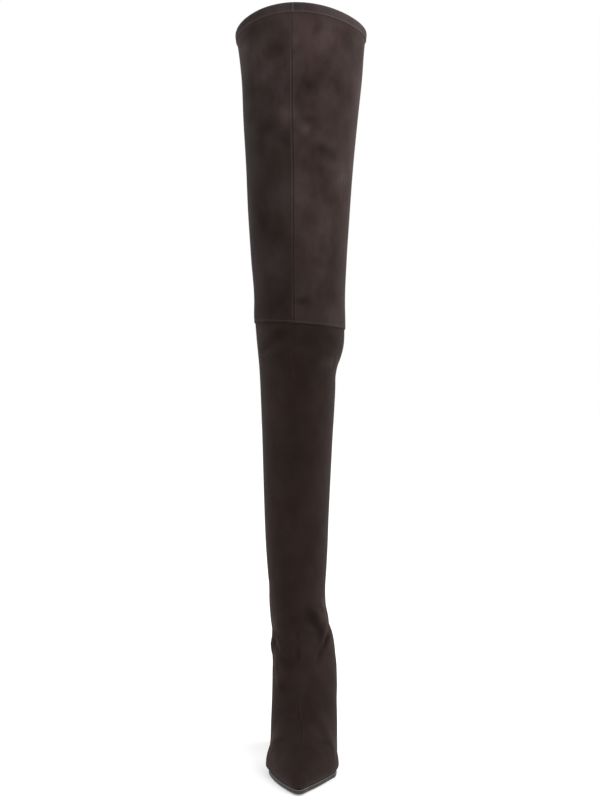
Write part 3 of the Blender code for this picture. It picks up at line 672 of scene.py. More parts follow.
def smooth_read(rows, key, value, at):
    """Read a column of a table at one place, on a smooth curve with no overshoot."""
    pairs = sorted((getattr(row, key), getattr(row, value)) for row in rows)
    places = [pair[0] for pair in pairs]
    heights = [pair[1] for pair in pairs]
    at = min(max(at, places[0]), places[-1])
    slot = max(i for i in range(len(places) - 1) if places[i] <= at)
    spans = np.diff(places)
    slopes = np.diff(heights) / spans

    def tangent(i):
        if i == 0:
            return slopes[0]
        if i == len(slopes):
            return slopes[-1]
        if slopes[i - 1] * slopes[i] <= 0:
            return 0.0
        before = 2 * spans[i] + spans[i - 1]
        after = spans[i] + 2 * spans[i - 1]
        return (before + after) / (before / slopes[i - 1] + after / slopes[i])

    span = spans[slot]
    t = (at - places[slot]) / span
    start = heights[slot] * (1 + 2 * t) * (1 - t) ** 2 + tangent(slot) * span * t * (1 - t) ** 2
    end = heights[slot + 1] * t * t * (3 - 2 * t) - tangent(slot + 1) * span * t * t * (1 - t)
    return float(start + end)


def read_row(kind, rows, at):
    """A row between a table's rows, at a place of its first column."""
    key, *others = kind._fields
    return kind(at, *[smooth_read(rows, key, name, at) for name in others])


def place_along(along):
    """Y of a share of the foot length, counted from the heel back."""
    return HEEL_OVERHANG - along * FOOT_LENGTH


def share_along(y):
    """Share of the foot length at a Y."""
    return (HEEL_OVERHANG - y) / FOOT_LENGTH


def bottom_level(y):
    """Height of the last's underside, where upper and insole stand."""
    along = share_along(y)
    spring = max(0.0, (along - SPRING_START) / (1 - SPRING_START))
    rise = smooth_read(BOTTOM_LINE, "along", "rise", along) * HEEL_HEIGHT
    return SOLE_THICKNESS + GAP + rise + TOE_SPRING * spring ** 2


def bottom_offset(y, depth):
    """A point below the last's underside by a depth square to it: Y and Z."""
    slope = (bottom_level(y + SLOPE_STEP) - bottom_level(y - SLOPE_STEP)) / (2 * SLOPE_STEP)
    length = sqrt(1 + slope * slope)
    return y + depth * slope / length, bottom_level(y) - depth / length


def feather_half(along, side):
    """Half width of the feather line on a side: rounded behind, from the table ahead."""
    start = max(along, SEAT_ARC_START)
    half = smooth_read(FEATHER_LINE, "along", side, start) * BALL_WIDTH
    if along < SEAT_ARC_START:
        half *= sqrt(max(0.0, 1 - (1 - along / SEAT_ARC_START) ** 2))
    return half


def seat_arc_angles():
    """Angles of the rounded heel seat between its corners, outer side to inner."""
    start = float(np.arcsin(1 - SEAT_CORNER / SEAT_ARC_START))
    return [start + (pi - 2 * start) * step / BASE_STEPS for step in range(BASE_STEPS + 1)]


def seat_arc_point(angle):
    """A point of the rounded heel seat in plan, angle 0 on the outer side."""
    side = "outer" if cos(angle) > 0 else "inner"
    half = smooth_read(FEATHER_LINE, "along", side, SEAT_ARC_START) * BALL_WIDTH
    x = -half * cos(angle)
    y = place_along(SEAT_ARC_START * (1 - sin(angle)))
    return x, y


def half_section(belly_half, feather, crown_x, belly, shaft_share):
    """One side of a section, crown to feather line: (x, share of the height) pairs."""
    points = []
    for step in range(CROWN_STEPS + 1):
        angle = pi / 2 * (1 - step / CROWN_STEPS)
        x = crown_x + (belly_half - crown_x) * cos(angle)
        points.append((x, belly + (1 - belly) * sin(angle)))
    for step in range(1, BELLY_STEPS + 1):
        t = step / BELLY_STEPS
        foot_x = feather + (belly_half - feather) * sin(pi / 2 * (1 - t))
        foot_up = belly * (1 - t)
        angle = pi / 2 + (BACK_CORNER - pi / 2) * t
        shaft_x = crown_x + (belly_half - crown_x) * sin(angle)
        shaft_up = belly * (1 + cos(angle))
        x = foot_x + (shaft_x - foot_x) * shaft_share
        points.append((x, foot_up + (shaft_up - foot_up) * shaft_share))
    return points


def section_ring(crown, base, outer, inner, feathers, crown_x, belly, shaft_share):
    """Side points of a section, from the inner feather corner over the crown to the outer."""
    inner_side = half_section(inner, feathers[1], crown_x, belly, shaft_share)
    outer_side = half_section(outer, feathers[0], -crown_x, belly, shaft_share)
    flat = inner_side[::-1] + [(-x, up) for x, up in outer_side[1:]]
    crown = np.array(crown)
    base = np.array(base)
    ring = []
    for x, up in flat:
        y, z = base + (crown - base) * up
        ring.append((x, float(y), float(z)))
    return ring


def back_points(crown, base, outer, inner, crown_x, belly):
    """Points of a shaft section round its back, from the outer corner to the inner."""
    crown = np.array(crown)
    base = np.array(base)
    points = []
    for step in range(1, BASE_STEPS):
        angle = BACK_CORNER + (2 * pi - 2 * BACK_CORNER) * step / BASE_STEPS
        half = outer + crown_x if sin(angle) > 0 else inner - crown_x
        x = crown_x - half * sin(angle)
        y, z = base + (crown - base) * belly * (1 + cos(angle))
        points.append((float(x), float(y), float(z)))
    return points


def foot_ring(along):
    """Open section of the foot, standing on the feather line at a share of the length."""
    row = read_row(FootRow, FOOT_SECTIONS, along)
    base = (place_along(along), bottom_level(place_along(along)))
    crown = (place_along(row.fore), base[1] + row.tall * INSTEP_HEIGHT)
    feathers = [feather_half(along, "outer"), feather_half(along, "inner")]
    return section_ring(crown, base, row.outer * BALL_WIDTH, row.inner * BALL_WIDTH,
                        feathers, row.ridge * BALL_WIDTH, row.belly, 0.0)


def seat_ring():
    """The last foot section, closed behind by the rounded edge of the heel seat."""
    ring = foot_ring(SEAT_CORNER)
    for angle in seat_arc_angles()[1:-1]:
        x, y = seat_arc_point(angle)
        ring.append((x, y, bottom_level(y)))
    return ring


def shaft_ring(crown, base, width, outer):
    """Closed section of the leg between a front point and a back point."""
    outer_half = width * outer
    inner_half = width * (1 - outer)
    crown_x = (inner_half - outer_half) / 2
    ring = section_ring(crown, base, outer_half, inner_half, [0.0, 0.0], crown_x,
                        SHAFT_BELLY, 1.0)
    return ring + back_points(crown, base, outer_half, inner_half, crown_x, SHAFT_BELLY)


def ankle_ring(row):
    """Leaning section that swings round the heel."""
    depth = row.depth * ANKLE_DEPTH
    crown = (-depth * row.ahead, SEAT_LEVEL + row.front * ANKLE_RISE)
    base = (depth * (1 - row.ahead), SEAT_LEVEL + row.back * ANKLE_RISE)
    return shaft_ring(crown, base, row.width * ANKLE_WIDTH, row.outer)


def level_ring(row, level, grow=0.0):
    """Level section of the leg, larger all round by grow."""
    width = row.width + 2 * grow
    depth = row.depth + 2 * grow
    outer = (row.width * row.outer + grow) / width
    ahead = (row.depth * row.ahead + grow) / depth
    return shaft_ring((-depth * ahead, level), (depth * (1 - ahead), level), width, outer)


def tilt_at_knee(ring, weight):
    """Lower the inner side of a ring near the knee seam."""
    return [(x, y, z - weight * KNEE_TILT * x / KNEE_WIDTH) for x, y, z in ring]


def shape_mouth(ring, weight):
    """Raise the front and the inner side of a ring near the collar, on the turned shaft."""
    front = min(point[1] for point in ring)
    raised = []
    for x, y, z in ring:
        share = max(0.0, (y * cos(SHAFT_TURN) + x * sin(SHAFT_TURN)) / front)
        rise = FRONT_PEAK * share ** 2 + MOUTH_TILT * x / TOP_WIDTH
        raised.append((x, y, z + weight * rise))
    return raised


def thigh_level(rise):
    """Height of a share of the thigh, from the knee seam to the collar top."""
    return SEAT_LEVEL + KNEE_RISE + rise * (TOP_RISE - KNEE_RISE)


def thigh_ring(row):
    """Ring of the thigh panel, which laps outside the knee seam."""
    ring = level_ring(row, thigh_level(row.rise), LAP_STEP)
    ring = tilt_at_knee(ring, max(0.0, 1 - row.rise / SLANT_END))
    return shape_mouth(ring, max(0.0, (row.rise - MOUTH_START) / (1 - MOUTH_START)))


def dense_thigh_ring(rise):
    """Resampled ring of the thigh panel at any rise."""
    return resample(thigh_ring(read_row(LegRow, THIGH_SECTIONS, rise)))


def band_foot():
    """Rise at which the collar band starts."""
    return 1 - BAND_HEIGHT / (TOP_RISE - KNEE_RISE)


def heel_loop(row, outer, inner):
    """Plan of the heel block at one level, and the plan of its seat, point by point."""
    top = np.vstack([outer, inner[::-1]])
    breast = top[:, 1].min()
    back = top[:, 1].max()
    width = top[:, 0].max() - top[:, 0].min()
    middle = (top[:, 0].max() + top[:, 0].min()) / 2
    now_back = LIFT_DEPTH / 2 + (back - LIFT_DEPTH / 2) * row.back
    now_breast = -LIFT_DEPTH / 2 + (breast + LIFT_DEPTH / 2) * row.breast
    now_width = LIFT_WIDTH + (width - LIFT_WIDTH) * row.spread
    x = middle * row.spread + (top[:, 0] - middle) * now_width / width
    y = now_breast + (top[:, 1] - breast) * (now_back - now_breast) / (back - breast)
    return np.column_stack([x, y]), top


def spline_rows(rows, first, step):
    """Rows of points on smooth curves through the given ones, about a step apart from first on."""
    rows = np.array(rows)
    gaps = np.maximum(np.linalg.norm(np.diff(rows, axis=0), axis=2), 1e-6)
    slopes = np.diff(rows, axis=0) / gaps[:, :, None]
    tangents = np.empty_like(rows)
    tangents[0] = slopes[0]
    tangents[-1] = slopes[-1]
    before = gaps[:-1, :, None]
    after = gaps[1:, :, None]
    tangents[1:-1] = (slopes[:-1] * after + slopes[1:] * before) / (before + after)
    out = [rows[first]]
    for i in range(first, len(rows) - 1):
        count = max(1, int(np.ceil(gaps[i].max() / step)))
        gap = gaps[i][:, None]
        for part in range(1, count + 1):
            t = part / count
            point = rows[i] * (1 + 2 * t) * (1 - t) ** 2 + rows[i + 1] * t * t * (3 - 2 * t)
            point = point + gap * tangents[i] * t * (1 - t) ** 2
            out.append(point - gap * tangents[i + 1] * t * t * (1 - t))
    return out


def distances(path):
    """Distance of each point of a path from its start."""
    return np.concatenate([[0.0], np.cumsum(np.linalg.norm(np.diff(path, axis=0), axis=1))])


def seam_place(level):
    """X of the front seam at a height above the floor."""
    return smooth_read(SEAM_LINE, "level", "x", level)


def resample_side(side):
    """Side points of a ring, closest together beside the front seam."""
    places = distances(side)
    whole = places[-1]
    middle = places[MIDDLE] + side[MIDDLE, 0] - seam_place(side[MIDDLE, 2])
    middle = min(max(middle, SEAM_NEAREST * whole), (1 - SEAM_NEAREST) * whole)
    wanted = []
    for length in (middle, whole - middle):
        close = np.array(SEAM_STEPS) * min(1.0, length / SEAM_ROOM)
        rest = np.linspace(close[-1], length, HALF_COUNT - len(SEAM_STEPS) + 1)[1:]
        wanted.append(np.concatenate([close, rest]))
    at = np.concatenate([middle - wanted[0][::-1], [middle], middle + wanted[1]])
    return np.column_stack([np.interp(at, places, side[:, k]) for k in range(3)])


def resample(ring):
    """A ring with its side points resampled and its back points as they are."""
    ring = np.array(ring)
    return np.vstack([resample_side(ring[:SIDE_COUNT]), ring[SIDE_COUNT:]])


def ring_faces(first, second, count, closed):
    """Quads between two rings of vertex numbers, facing out."""
    faces = []
    steps = count if closed else count - 1
    for j in range(steps):
        k = (j + 1) % count
        faces.append((first + j, second + j, second + k, first + k))
    return faces


def tube_faces(count, rings, start=0):
    """Quads of a closed tube of rings, numbered from start on."""
    faces = []
    for i in range(rings - 1):
        faces += ring_faces(start + i * count, start + (i + 1) * count, count, True)
    return faces


def unit_rows(rows):
    """Vectors brought to length 1."""
    return rows / np.maximum(np.linalg.norm(rows, axis=1), 1e-12)[:, None]


def vertex_normals(points, faces):
    """Unit normals of a skin of quads and triangles."""
    quads = np.array([face if len(face) == 4 else (*face, face[2]) for face in faces])
    a, b, c, d = (points[quads[:, k]] for k in range(4))
    facing = np.cross(c - a, d - b)
    flat = quads[:, 2] == quads[:, 3]
    facing[flat] = np.cross(b[flat] - a[flat], c[flat] - a[flat])
    normals = np.zeros_like(points)
    for k in range(4):
        np.add.at(normals, quads[:, k], facing)
    return unit_rows(normals)


def smooth_step(value):
    """0 below 0, 1 above 1 and a smooth rise between."""
    value = np.clip(value, 0.0, 1.0)
    return value * value * (3 - 2 * value)


class Skin:
    """An open skin of rows of points, which gets folds, a seam and a wall."""

    def __init__(self, rows):
        self.counts = [len(row) for row in rows]
        self.starts = [int(n) for n in np.concatenate([[0], np.cumsum(self.counts)[:-1]])]
        self.points = np.vstack(rows)
        self.faces = []
        for i in range(len(rows) - 1):
            count = min(self.counts[i], self.counts[i + 1])
            self.faces += ring_faces(self.starts[i], self.starts[i + 1], count, count > SIDE_PLACES)
        self.fold = np.zeros(len(self.points))
        self.seam = np.zeros(len(self.points))
        self.edge = np.zeros(len(self.points))
        self.panel = np.zeros(len(self.points))
        self.nap = np.zeros(len(self.points))

    def push(self, amount):
        """Move the skin out by an amount for each point."""
        self.points = self.points + vertex_normals(self.points, self.faces) * amount[:, None]

    def press_folds(self, rows, keep):
        """Press the table's folds into the skin: a soft trough with a ridge on each side. Their depth
        is kept for painted shade in the troughs and a painted highlight on the ridges.
        """
        normals = vertex_normals(self.points, self.faces)
        depth = np.zeros(len(self.points))
        for row in rows:
            depth += fold_depth(self.points, normals, row)
        depth *= keep
        # fold below zero gives painted shade in the troughs, above zero a painted highlight on the
        # ridges
        self.fold += depth / FOLD_SCALE
        self.points = self.points + normals * depth[:, None]

    def lay_nap(self, rows):
        """Lay the table's patches of nap and painted light and shade on the front, dark ones below
        zero.
        """
        front = smooth_step(0.5 - NAP_TURN * vertex_normals(self.points, self.faces)[:, 1])
        for row in rows:
            across = (self.points[:, 0] - row.x) / row.wide
            up = (self.points[:, 2] - row.level) / row.tall
            self.nap += row.light * front * np.exp(-across ** 2 - up ** 2)

    def sew_seam(self):
        """Sink the front seam and raise a rounded lip on each side, as the table says, with painted
        shade in the groove and a painted highlight on the lips.
        """
        place = self.seam_offset()
        show = np.array([read_row(ShowRow, SEAM_SHOW, z)[1:] for z in self.points[:, 2]])
        groove, outer, inner = show.T
        line = np.exp(-(place / SEAM_GROOVE) ** 2) * groove
        lips = np.exp(-((place - OUTER_LIP) / SEAM_LIP_WIDTH) ** 2) * outer
        lips += np.exp(-((place + INNER_LIP) / SEAM_LIP_WIDTH) ** 2) * inner
        self.push(SEAM_LIFT * lips - SEAM_DEPTH * line)
        self.seam = np.maximum(self.seam, line)
        self.edge = np.maximum(self.edge, lips)

    def tone_panels(self):
        """Painted light and shade of the two halves beside the seam: lighter on the inner half,
        painted shade on the outer side, evened out at the top.
        """
        place = self.seam_offset()
        across, _, level = self.points.T
        tone = np.where(place < OFF_SEAM, smooth_step(0.5 - place / PANEL_BLEND),
                        smooth_step(0.5 + across / BACK_BLEND))
        tone -= SIDE_SHADE * smooth_step((-across - SIDE_START) / SIDE_SPREAD)
        calm = smooth_step((level - CALM_START) / CALM_SPREAD)
        self.panel = np.maximum(tone, tone + (CALM_PANEL - tone) * calm)

    def shade_joins(self, ground):
        """Paint shade on the skin where it meets the sole and goes under the knee lap."""
        across, _, level = self.points.T
        top = SEAT_LEVEL + KNEE_RISE - KNEE_TILT * across / KNEE_WIDTH
        sole = smooth_step(JOIN_START - (level - ground) / JOIN_REACH)
        lap = smooth_step(JOIN_START - (top - level) / JOIN_REACH)
        inner = smooth_step((across - JOIN_FAINT_FROM) / JOIN_FAINT_SPREAD)
        lap *= JOIN_OUTER + (1 - JOIN_OUTER) * inner
        self.seam = np.maximum(self.seam, JOIN_SHADE * (sole + lap))

    def attributes(self):
        """Values of the outer and the inner skin for the suede material."""
        names = ("fold", "seam", "edge", "panel", "nap")
        return {name: np.tile(getattr(self, name), 2) for name in names}

    def seam_offset(self):
        """Distance of each point from the front seam along its row, + toward the outer side."""
        offset = np.full(len(self.points), OFF_SEAM)
        for start in self.starts:
            places = distances(self.points[start:start + SIDE_PLACES])
            offset[start:start + SIDE_PLACES] = places - places[HALF_COUNT]
        return offset


def fold_depth(points, normals, row):
    """How far one fold moves each point, out where positive."""
    facing = normals[:, 1] < 0 if row.side == "front" else normals[:, 1] > 0
    shell = points[facing]
    path = []
    for across, level in row.path:
        near = np.abs(shell[:, 2] - level) < FOLD_REACH
        low, high = shell[near, 0].min(), shell[near, 0].max()
        x = (low + high) / 2 + across * (high - low) / 2
        miss = np.hypot(shell[:, 0] - x, shell[:, 2] - level)
        close = miss < miss.min() + FOLD_STEP
        ahead = shell[:, 1] if row.side == "front" else -shell[:, 1]
        path.append(shell[np.flatnonzero(close)[ahead[close].argmin()]])
    path = curve_through(path, FOLD_STEP)
    share = np.linspace(0, 1, len(path))
    weight = np.sin(pi * np.clip(share, FOLD_END, 1 - FOLD_END)) ** FOLD_TAPER
    low = path.min(axis=0) - FOLD_ROOM * row.width
    high = path.max(axis=0) + FOLD_ROOM * row.width
    inside = np.all((points > low) & (points < high), axis=1)
    depth = np.zeros(len(points))
    if not inside.any():
        return depth
    gap = np.linalg.norm(points[inside][:, None, :] - path[None, :, :], axis=2)
    nearest = gap.argmin(axis=1)
    reach = gap[np.arange(len(gap)), nearest] / row.width
    trough = np.exp(-reach ** 2) - RIDGE_SHARE * np.exp(-(reach - RIDGE_PLACE) ** 2)
    depth[inside] = -row.depth * trough * weight[nearest]
    return depth


def curve_through(points, step):
    """Points about a step apart on a smooth curve through the given ones."""
    rows = np.array(points)[:, None, :]
    return np.array([row[0] for row in spline_rows(rows, 0, step)])


def thicken(skin, wall, settle):
    """Inner skin and rims for a skin: all points, and the faces of outside, inside and rims."""
    normals = vertex_normals(skin.points, skin.faces)
    inner = skin.points - normals * wall
    edges = {}
    for face in skin.faces:
        for i, a in enumerate(face):
            edges[(a, face[(i + 1) % len(face)])] = True
    rims = [(a, b) for a, b in edges if (b, a) not in edges]
    for number in {a for edge in rims for a in edge}:
        flat = np.array([normals[number][0], normals[number][1], 0.0])
        flat /= max(np.linalg.norm(flat), 1e-9)
        inner[number] = settle(skin.points[number] - flat * wall, skin.points[number])
    count = len(skin.points)
    inside = [tuple(number + count for number in reversed(face)) for face in skin.faces]
    edging = [(b, a, a + count, b + count) for a, b in rims]
    return np.vstack([skin.points, inner]), inside, edging


def build(name, vertices, groups, materials, nodes, attributes=None):
    """A smooth mesh piece with one material to each group of faces, riding on the one body."""
    mesh = bpy.data.meshes.new(name)
    faces = [face for group in groups for face in group]
    mesh.from_pydata([tuple(map(float, v)) for v in vertices], [], faces)
    for material in materials:
        mesh.materials.append(material)
    numbers = [i for i, group in enumerate(groups) for _ in group]
    mesh.polygons.foreach_set("material_index", numbers)
    for key, values in (attributes or {}).items():
        layer = mesh.attributes.new(key, "FLOAT", "POINT")
        layer.data.foreach_set("value", np.asarray(values, dtype=np.float32))
    mesh.validate()
    work = bmesh.new()
    work.from_mesh(mesh)
    bmesh.ops.recalc_face_normals(work, faces=work.faces[:])
    work.to_mesh(mesh)
    work.free()
    mesh.shade_smooth()
    mesh.set_sharp_from_angle(angle=SHARP_ANGLE)
    piece = bpy.data.objects.new(name, mesh)
    bpy.context.scene.collection.objects.link(piece)
    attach(piece, "root")
    if nodes:
        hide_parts(*nodes)


def settle_upper(inside, outside):
    """Keep the lower rim on the last's underside and the upper rim level with itself."""
    if outside[2] > SEAT_LEVEL + ANKLE_RISE:
        return np.array([inside[0], inside[1], outside[2]])
    return np.array([inside[0], inside[1], bottom_level(inside[1])])


def settle_level(inside, outside):
    """Keep a rim level with itself."""
    return np.array([inside[0], inside[1], outside[2]])


def upper_rows():
    """Dense rings of the nose, the foot and the lower leg."""
    shares = np.linspace(TOE_STATION, SEAT_CORNER, FOOT_ROWS)
    foot = [np.array(foot_ring(share)) for share in shares]
    first = foot[0]
    centre = (first.min(axis=0) + first.max(axis=0)) / 2
    nose = []
    for step in range(NOSE_ROWS, 0, -1):
        angle = pi / 2 * step / (NOSE_ROWS + NOSE_TIP)
        ring = centre + (first - centre) * cos(angle)
        ring[:, 1] = first[:, 1] - NOSE_BULGE * sin(angle)
        nose.append(ring)
    leg = [np.array(ring) for ring in [seat_ring()] + [ankle_ring(row) for row in ANKLE_SECTIONS]]
    for row in SHIN_SECTIONS:
        near_knee = max(0.0, (row.rise - SLANT_START) / (1 - SLANT_START))
        ring = level_ring(row, SEAT_LEVEL + row.rise * KNEE_RISE)
        leg.append(np.array(tilt_at_knee(ring, near_knee)))
    before = np.vstack([foot[-2], (2 * leg[0] - leg[1])[SIDE_COUNT:]])
    leg = spline_rows([before] + leg, 1, ROW_STEP)
    return [resample_side(ring) for ring in nose + foot[:-1]] + [resample(ring) for ring in leg]


def make_upper(suede, lining):
    """Foot and lower leg: hollow suede shell with its lining, seam and folds."""
    skin = Skin(upper_rows())
    across, along, level = skin.points.T
    ground = np.array([bottom_level(y) for y in along])
    keep = smooth_step((level - ground - FOLDS_FROM) / SOLE_FADE)
    keep *= smooth_step((SEAT_LEVEL + KNEE_RISE + FOLDS_PAST - level) / LAP_FADE)
    skin.press_folds(FOLDS, keep)
    skin.lay_nap(LOWER_NAP_AND_PAINTED_LIGHT)
    skin.tone_panels()
    skin.sew_seam()
    skin.shade_joins(ground)
    points, inside, edging = thicken(skin, WALL, settle_upper)
    cap = tuple(range(SIDE_PLACES))
    inner_cap = tuple(number + len(skin.points) for number in reversed(cap))
    build("upper_shell", points, [skin.faces + [cap] + edging, inside + [inner_cap]],
          [suede, lining], ["upper"], skin.attributes())


def make_thigh(suede, lining):
    """Thigh panel: hollow suede, lapped over the knee seam, sewn up the front. Gives its skin."""
    rises = np.linspace(0.0, band_foot() + THIGH_TUCK, THIGH_ROWS)
    skin = Skin([dense_thigh_ring(rise) for rise in rises])
    keep = smooth_step((skin.points[:, 2] - thigh_level(0.0)) / THIGH_FADE)
    skin.press_folds(THIGH_FOLDS, keep)
    skin.lay_nap(THIGH_NAP_AND_PAINTED_LIGHT)
    skin.tone_panels()
    skin.sew_seam()
    points, inside, edging = thicken(skin, WALL, settle_level)
    build("thigh_panel", points, [skin.faces + edging, inside], [suede, lining],
          ["thigh_shaft"], skin.attributes())
    return skin


def make_band(suede):
    """Folded collar edge, rounded at the top, with a turned lower lip. Gives its loops."""
    foot = dense_thigh_ring(band_foot())
    top = resample(thigh_ring(THIGH_SECTIONS[-1]))
    along = np.roll(top, -1, axis=0) - np.roll(top, 1, axis=0)
    out = unit_rows(np.column_stack([-along[:, 1], along[:, 0], np.zeros(len(top))]))
    if np.dot(out[0], top[0] - top.mean(axis=0)) < 0:
        out = -out
    loops = [foot + (top - foot) * row.up + out * (BAND_PROUD - row.out * BAND_THICKNESS)
             for row in BAND_LOOP]
    count = len(top)
    faces = tube_faces(count, len(loops)) + ring_faces((len(loops) - 1) * count, 0, count, True)
    # painted light and shade across the band: lighter toward the inner side
    side = smooth_step(0.5 + top[:, 0] / BAND_SPREAD)
    places = distances(top[:SIDE_PLACES])
    across = np.full(count, OFF_SEAM)
    across[:SIDE_PLACES] = np.abs(places - places[HALF_COUNT])
    # join: painted highlight on the join over the front seam; gap: painted shade beside it
    join = np.exp(-(across / SEAM_GROOVE) ** 2)
    gap = np.exp(-((across - OUTER_LIP) / SEAM_GROOVE) ** 2)
    edge = [row.light * (1 + side) / 2 + JOIN_HIGHLIGHT * join for row in BAND_LOOP]
    values = {"edge": np.concatenate(edge), "seam": np.tile(BAND_GAP_SHADE * gap, len(loops)),
              "panel": np.tile(side, len(loops))}
    build("collar_fold", np.vstack(loops), [faces], [suede], ["collar_band"], values)
    return loops


def make_stitches(name, path, normals, thread, slot):
    """One piece of all the stitches along a path, their ends sunk in the suede."""
    places = distances(path)
    vertices = []
    faces = []
    for number in range(int(places[-1] / STITCH_STEP)):
        centre = (number + 0.5) * STITCH_STEP
        at = centre + np.linspace(-0.5, 0.5, STITCH_RINGS) * STITCH_LENGTH
        line = np.column_stack([np.interp(at, places, path[:, k]) for k in range(3)])
        up = np.array([np.interp(centre, places, normals[:, k]) for k in range(3)])
        up /= np.linalg.norm(up)
        along = line[-1] - line[0]
        along /= np.linalg.norm(along)
        aside = np.cross(along, up)
        first = len(vertices)
        for ring in range(STITCH_RINGS):
            bow = sin(pi * ring / (STITCH_RINGS - 1))
            core = line[ring] + up * STITCH_RADIUS * (STITCH_BOW * bow - STITCH_SINK)
            radius = STITCH_RADIUS * (STITCH_END + (1 - STITCH_END) * bow)
            for side in range(STITCH_SIDES):
                turn = 2 * pi * side / STITCH_SIDES
                vertices.append(core + radius * (up * sin(turn) + aside * cos(turn)))
        faces += tube_faces(STITCH_SIDES, STITCH_RINGS, first)
        last = first + (STITCH_RINGS - 1) * STITCH_SIDES
        faces.append(tuple(range(first + STITCH_SIDES - 1, first - 1, -1)))
        faces.append(tuple(range(last, last + STITCH_SIDES)))
    build(name, vertices, [faces], [thread], [])


def row_path(skin, row):
    """A closed row of the skin with its normals."""
    start, count = skin.starts[row], skin.counts[row]
    numbers = list(range(start, start + count)) + [start]
    return skin.points[numbers], vertex_normals(skin.points, skin.faces)[numbers]


def band_path(loops):
    """The closed line of the collar's stitches with its normals."""
    line = loops[BAND_STITCH_ROW]
    away = unit_rows(line - loops[-1])
    return np.vstack([line, line[:1]]), np.vstack([away, away[:1]])


def sole_outline(margin, first=1.0):
    """The outline of the sole as pairs of points, from toe to heel, grown by a margin."""
    shares = np.linspace(FEATHER_LINE[-1].along, SEAT_ARC_START, SOLE_ROWS)
    shares = [share for share in shares if share <= first]
    outer = [(-feather_half(s, "outer"), place_along(s)) for s in shares]
    inner = [(feather_half(s, "inner"), place_along(s)) for s in shares]
    angles = [LAST_RUNG * step / SEAT_ROWS for step in range(1, SEAT_ROWS + 1)]
    outer += [seat_arc_point(angle) for angle in angles]
    inner += [seat_arc_point(pi - angle) for angle in angles]
    loop = np.array(outer + inner[::-1])
    along = np.roll(loop, -1, axis=0) - np.roll(loop, 1, axis=0)
    if first < 1.0:
        along[0] = loop[1] - loop[0]
        along[-1] = loop[-1] - loop[-2]
    out = unit_rows(np.column_stack([-along[:, 1], along[:, 0]]))
    if out[0][0] > 0:
        out = -out
    grown = loop + out * margin
    half = len(outer)
    return grown[:half], grown[half:][::-1]


def make_plate(name, profile, materials, node, first=1.0):
    """Plate under the foot with a rounded edge: rows of margin and depth round its outline."""
    loops = []
    for row in profile:
        outer, inner = sole_outline(row.margin, first)
        plan = np.vstack([outer, inner[::-1]])
        loops.append(np.array([(x, *bottom_offset(y, row.depth)) for x, y in plan]))
    half = len(outer)
    count = 2 * half
    faces = tube_faces(count, len(loops))
    vertices = list(np.vstack(loops))
    caps = []
    for start in (0, (len(loops) - 1) * count):
        end = start + count - 1
        columns = [{i: start + i for i in range(half)}]
        for part in range(1, PLATE_COLUMNS):
            share = part / PLATE_COLUMNS
            columns.append({})
            for i in range(1, half - 1):
                columns[-1][i] = len(vertices)
                vertices.append(vertices[start + i] * (1 - share) + vertices[end - i] * share)
        columns.append({i: end - i for i in range(half)})
        for left, right in zip(columns, columns[1:]):
            for i in range(1, half - 2):
                caps.append((left[i], left[i + 1], right[i + 1], right[i]))
        for outer_end, row in ((0, 1), (half - 1, half - 2)):
            line = [column[row] for column in columns]
            caps.append((columns[0][outer_end], *line, columns[-1][outer_end]))
    # painted highlight along the sole's edge
    light = np.zeros(len(vertices))
    for i, row in enumerate(profile):
        light[i * count:(i + 1) * count] = row.light
    build(name, vertices, [faces, caps], materials, [node], {"edge": light})


def heel_rings(rows):
    """Rings of the heel block, tip to seat."""
    outer, inner = sole_outline(-HEEL_INSET, HEEL_BREAST / FOOT_LENGTH)
    low = LIFT_THICKNESS + GAP
    rings = []
    for row in rows:
        loop, top = heel_loop(row, outer, inner)
        ring = []
        for (x, y), (_, top_y) in zip(loop, top):
            seat_y, seat_z = bottom_offset(top_y, SOLE_THICKNESS + 2 * GAP)
            ring.append((x, y + (seat_y - top_y) * row.rise, low + (seat_z - low) * row.rise))
        rings.append(np.array(ring))
    return rings


def make_heel(suede):
    """Covered heel block."""
    rises = np.linspace(0, 1, HEEL_ROWS)
    rings = heel_rings([read_row(HeelRow, HEEL_SECTIONS, rise) for rise in rises])
    points = np.vstack(rings)
    build("heel_cover", points, [block_faces(rings)], [suede], ["heel"],
          {"panel": np.full(len(points), HEEL_PANEL)})


def block_faces(rings):
    """Faces of a closed block of rings, whose two sides are paired point by point."""
    count = len(rings[0])
    faces = tube_faces(count, len(rings))
    for start in (0, (len(rings) - 1) * count):
        last = start + count - 1
        faces += [(start + i, start + i + 1, last - i - 1, last - i) for i in range(count // 2 - 1)]
    return faces


def make_lift(rubber):
    """Wearing piece under the heel, with softened edges."""
    outer, inner = sole_outline(-HEEL_INSET, HEEL_BREAST / FOOT_LENGTH)
    loop, _ = heel_loop(HEEL_SECTIONS[0], outer, inner)
    away = unit_rows(loop - loop.mean(axis=0))
    rings = [np.column_stack([loop - away * inset, np.full(len(loop), level)])
             for inset, level in LIFT_PROFILE]
    build("heel_tip", np.vstack(rings), [block_faces(rings)], [rubber], ["top_lift"])


def set_inputs(node, values):
    """Set inputs of a node by name."""
    for key, value in values.items():
        node.inputs[key].default_value = value


def new_material(name):
    """A material with an empty Principled shader."""
    material = bpy.data.materials.new(name)
    material.use_nodes = True
    tree = material.node_tree
    return material, tree, tree.nodes["Principled BSDF"]


def noise(tree, coords, scale, detail, rough=0.5, stretch=(1, 1, 1)):
    """Noise of a scale in the object's own space."""
    mapping = tree.nodes.new("ShaderNodeMapping")
    mapping.inputs["Scale"].default_value = stretch
    tree.links.new(coords, mapping.inputs["Vector"])
    node = tree.nodes.new("ShaderNodeTexNoise")
    set_inputs(node, {"Scale": scale, "Detail": detail, "Roughness": rough})
    tree.links.new(mapping.outputs["Vector"], node.inputs["Vector"])
    return node.outputs["Fac"]


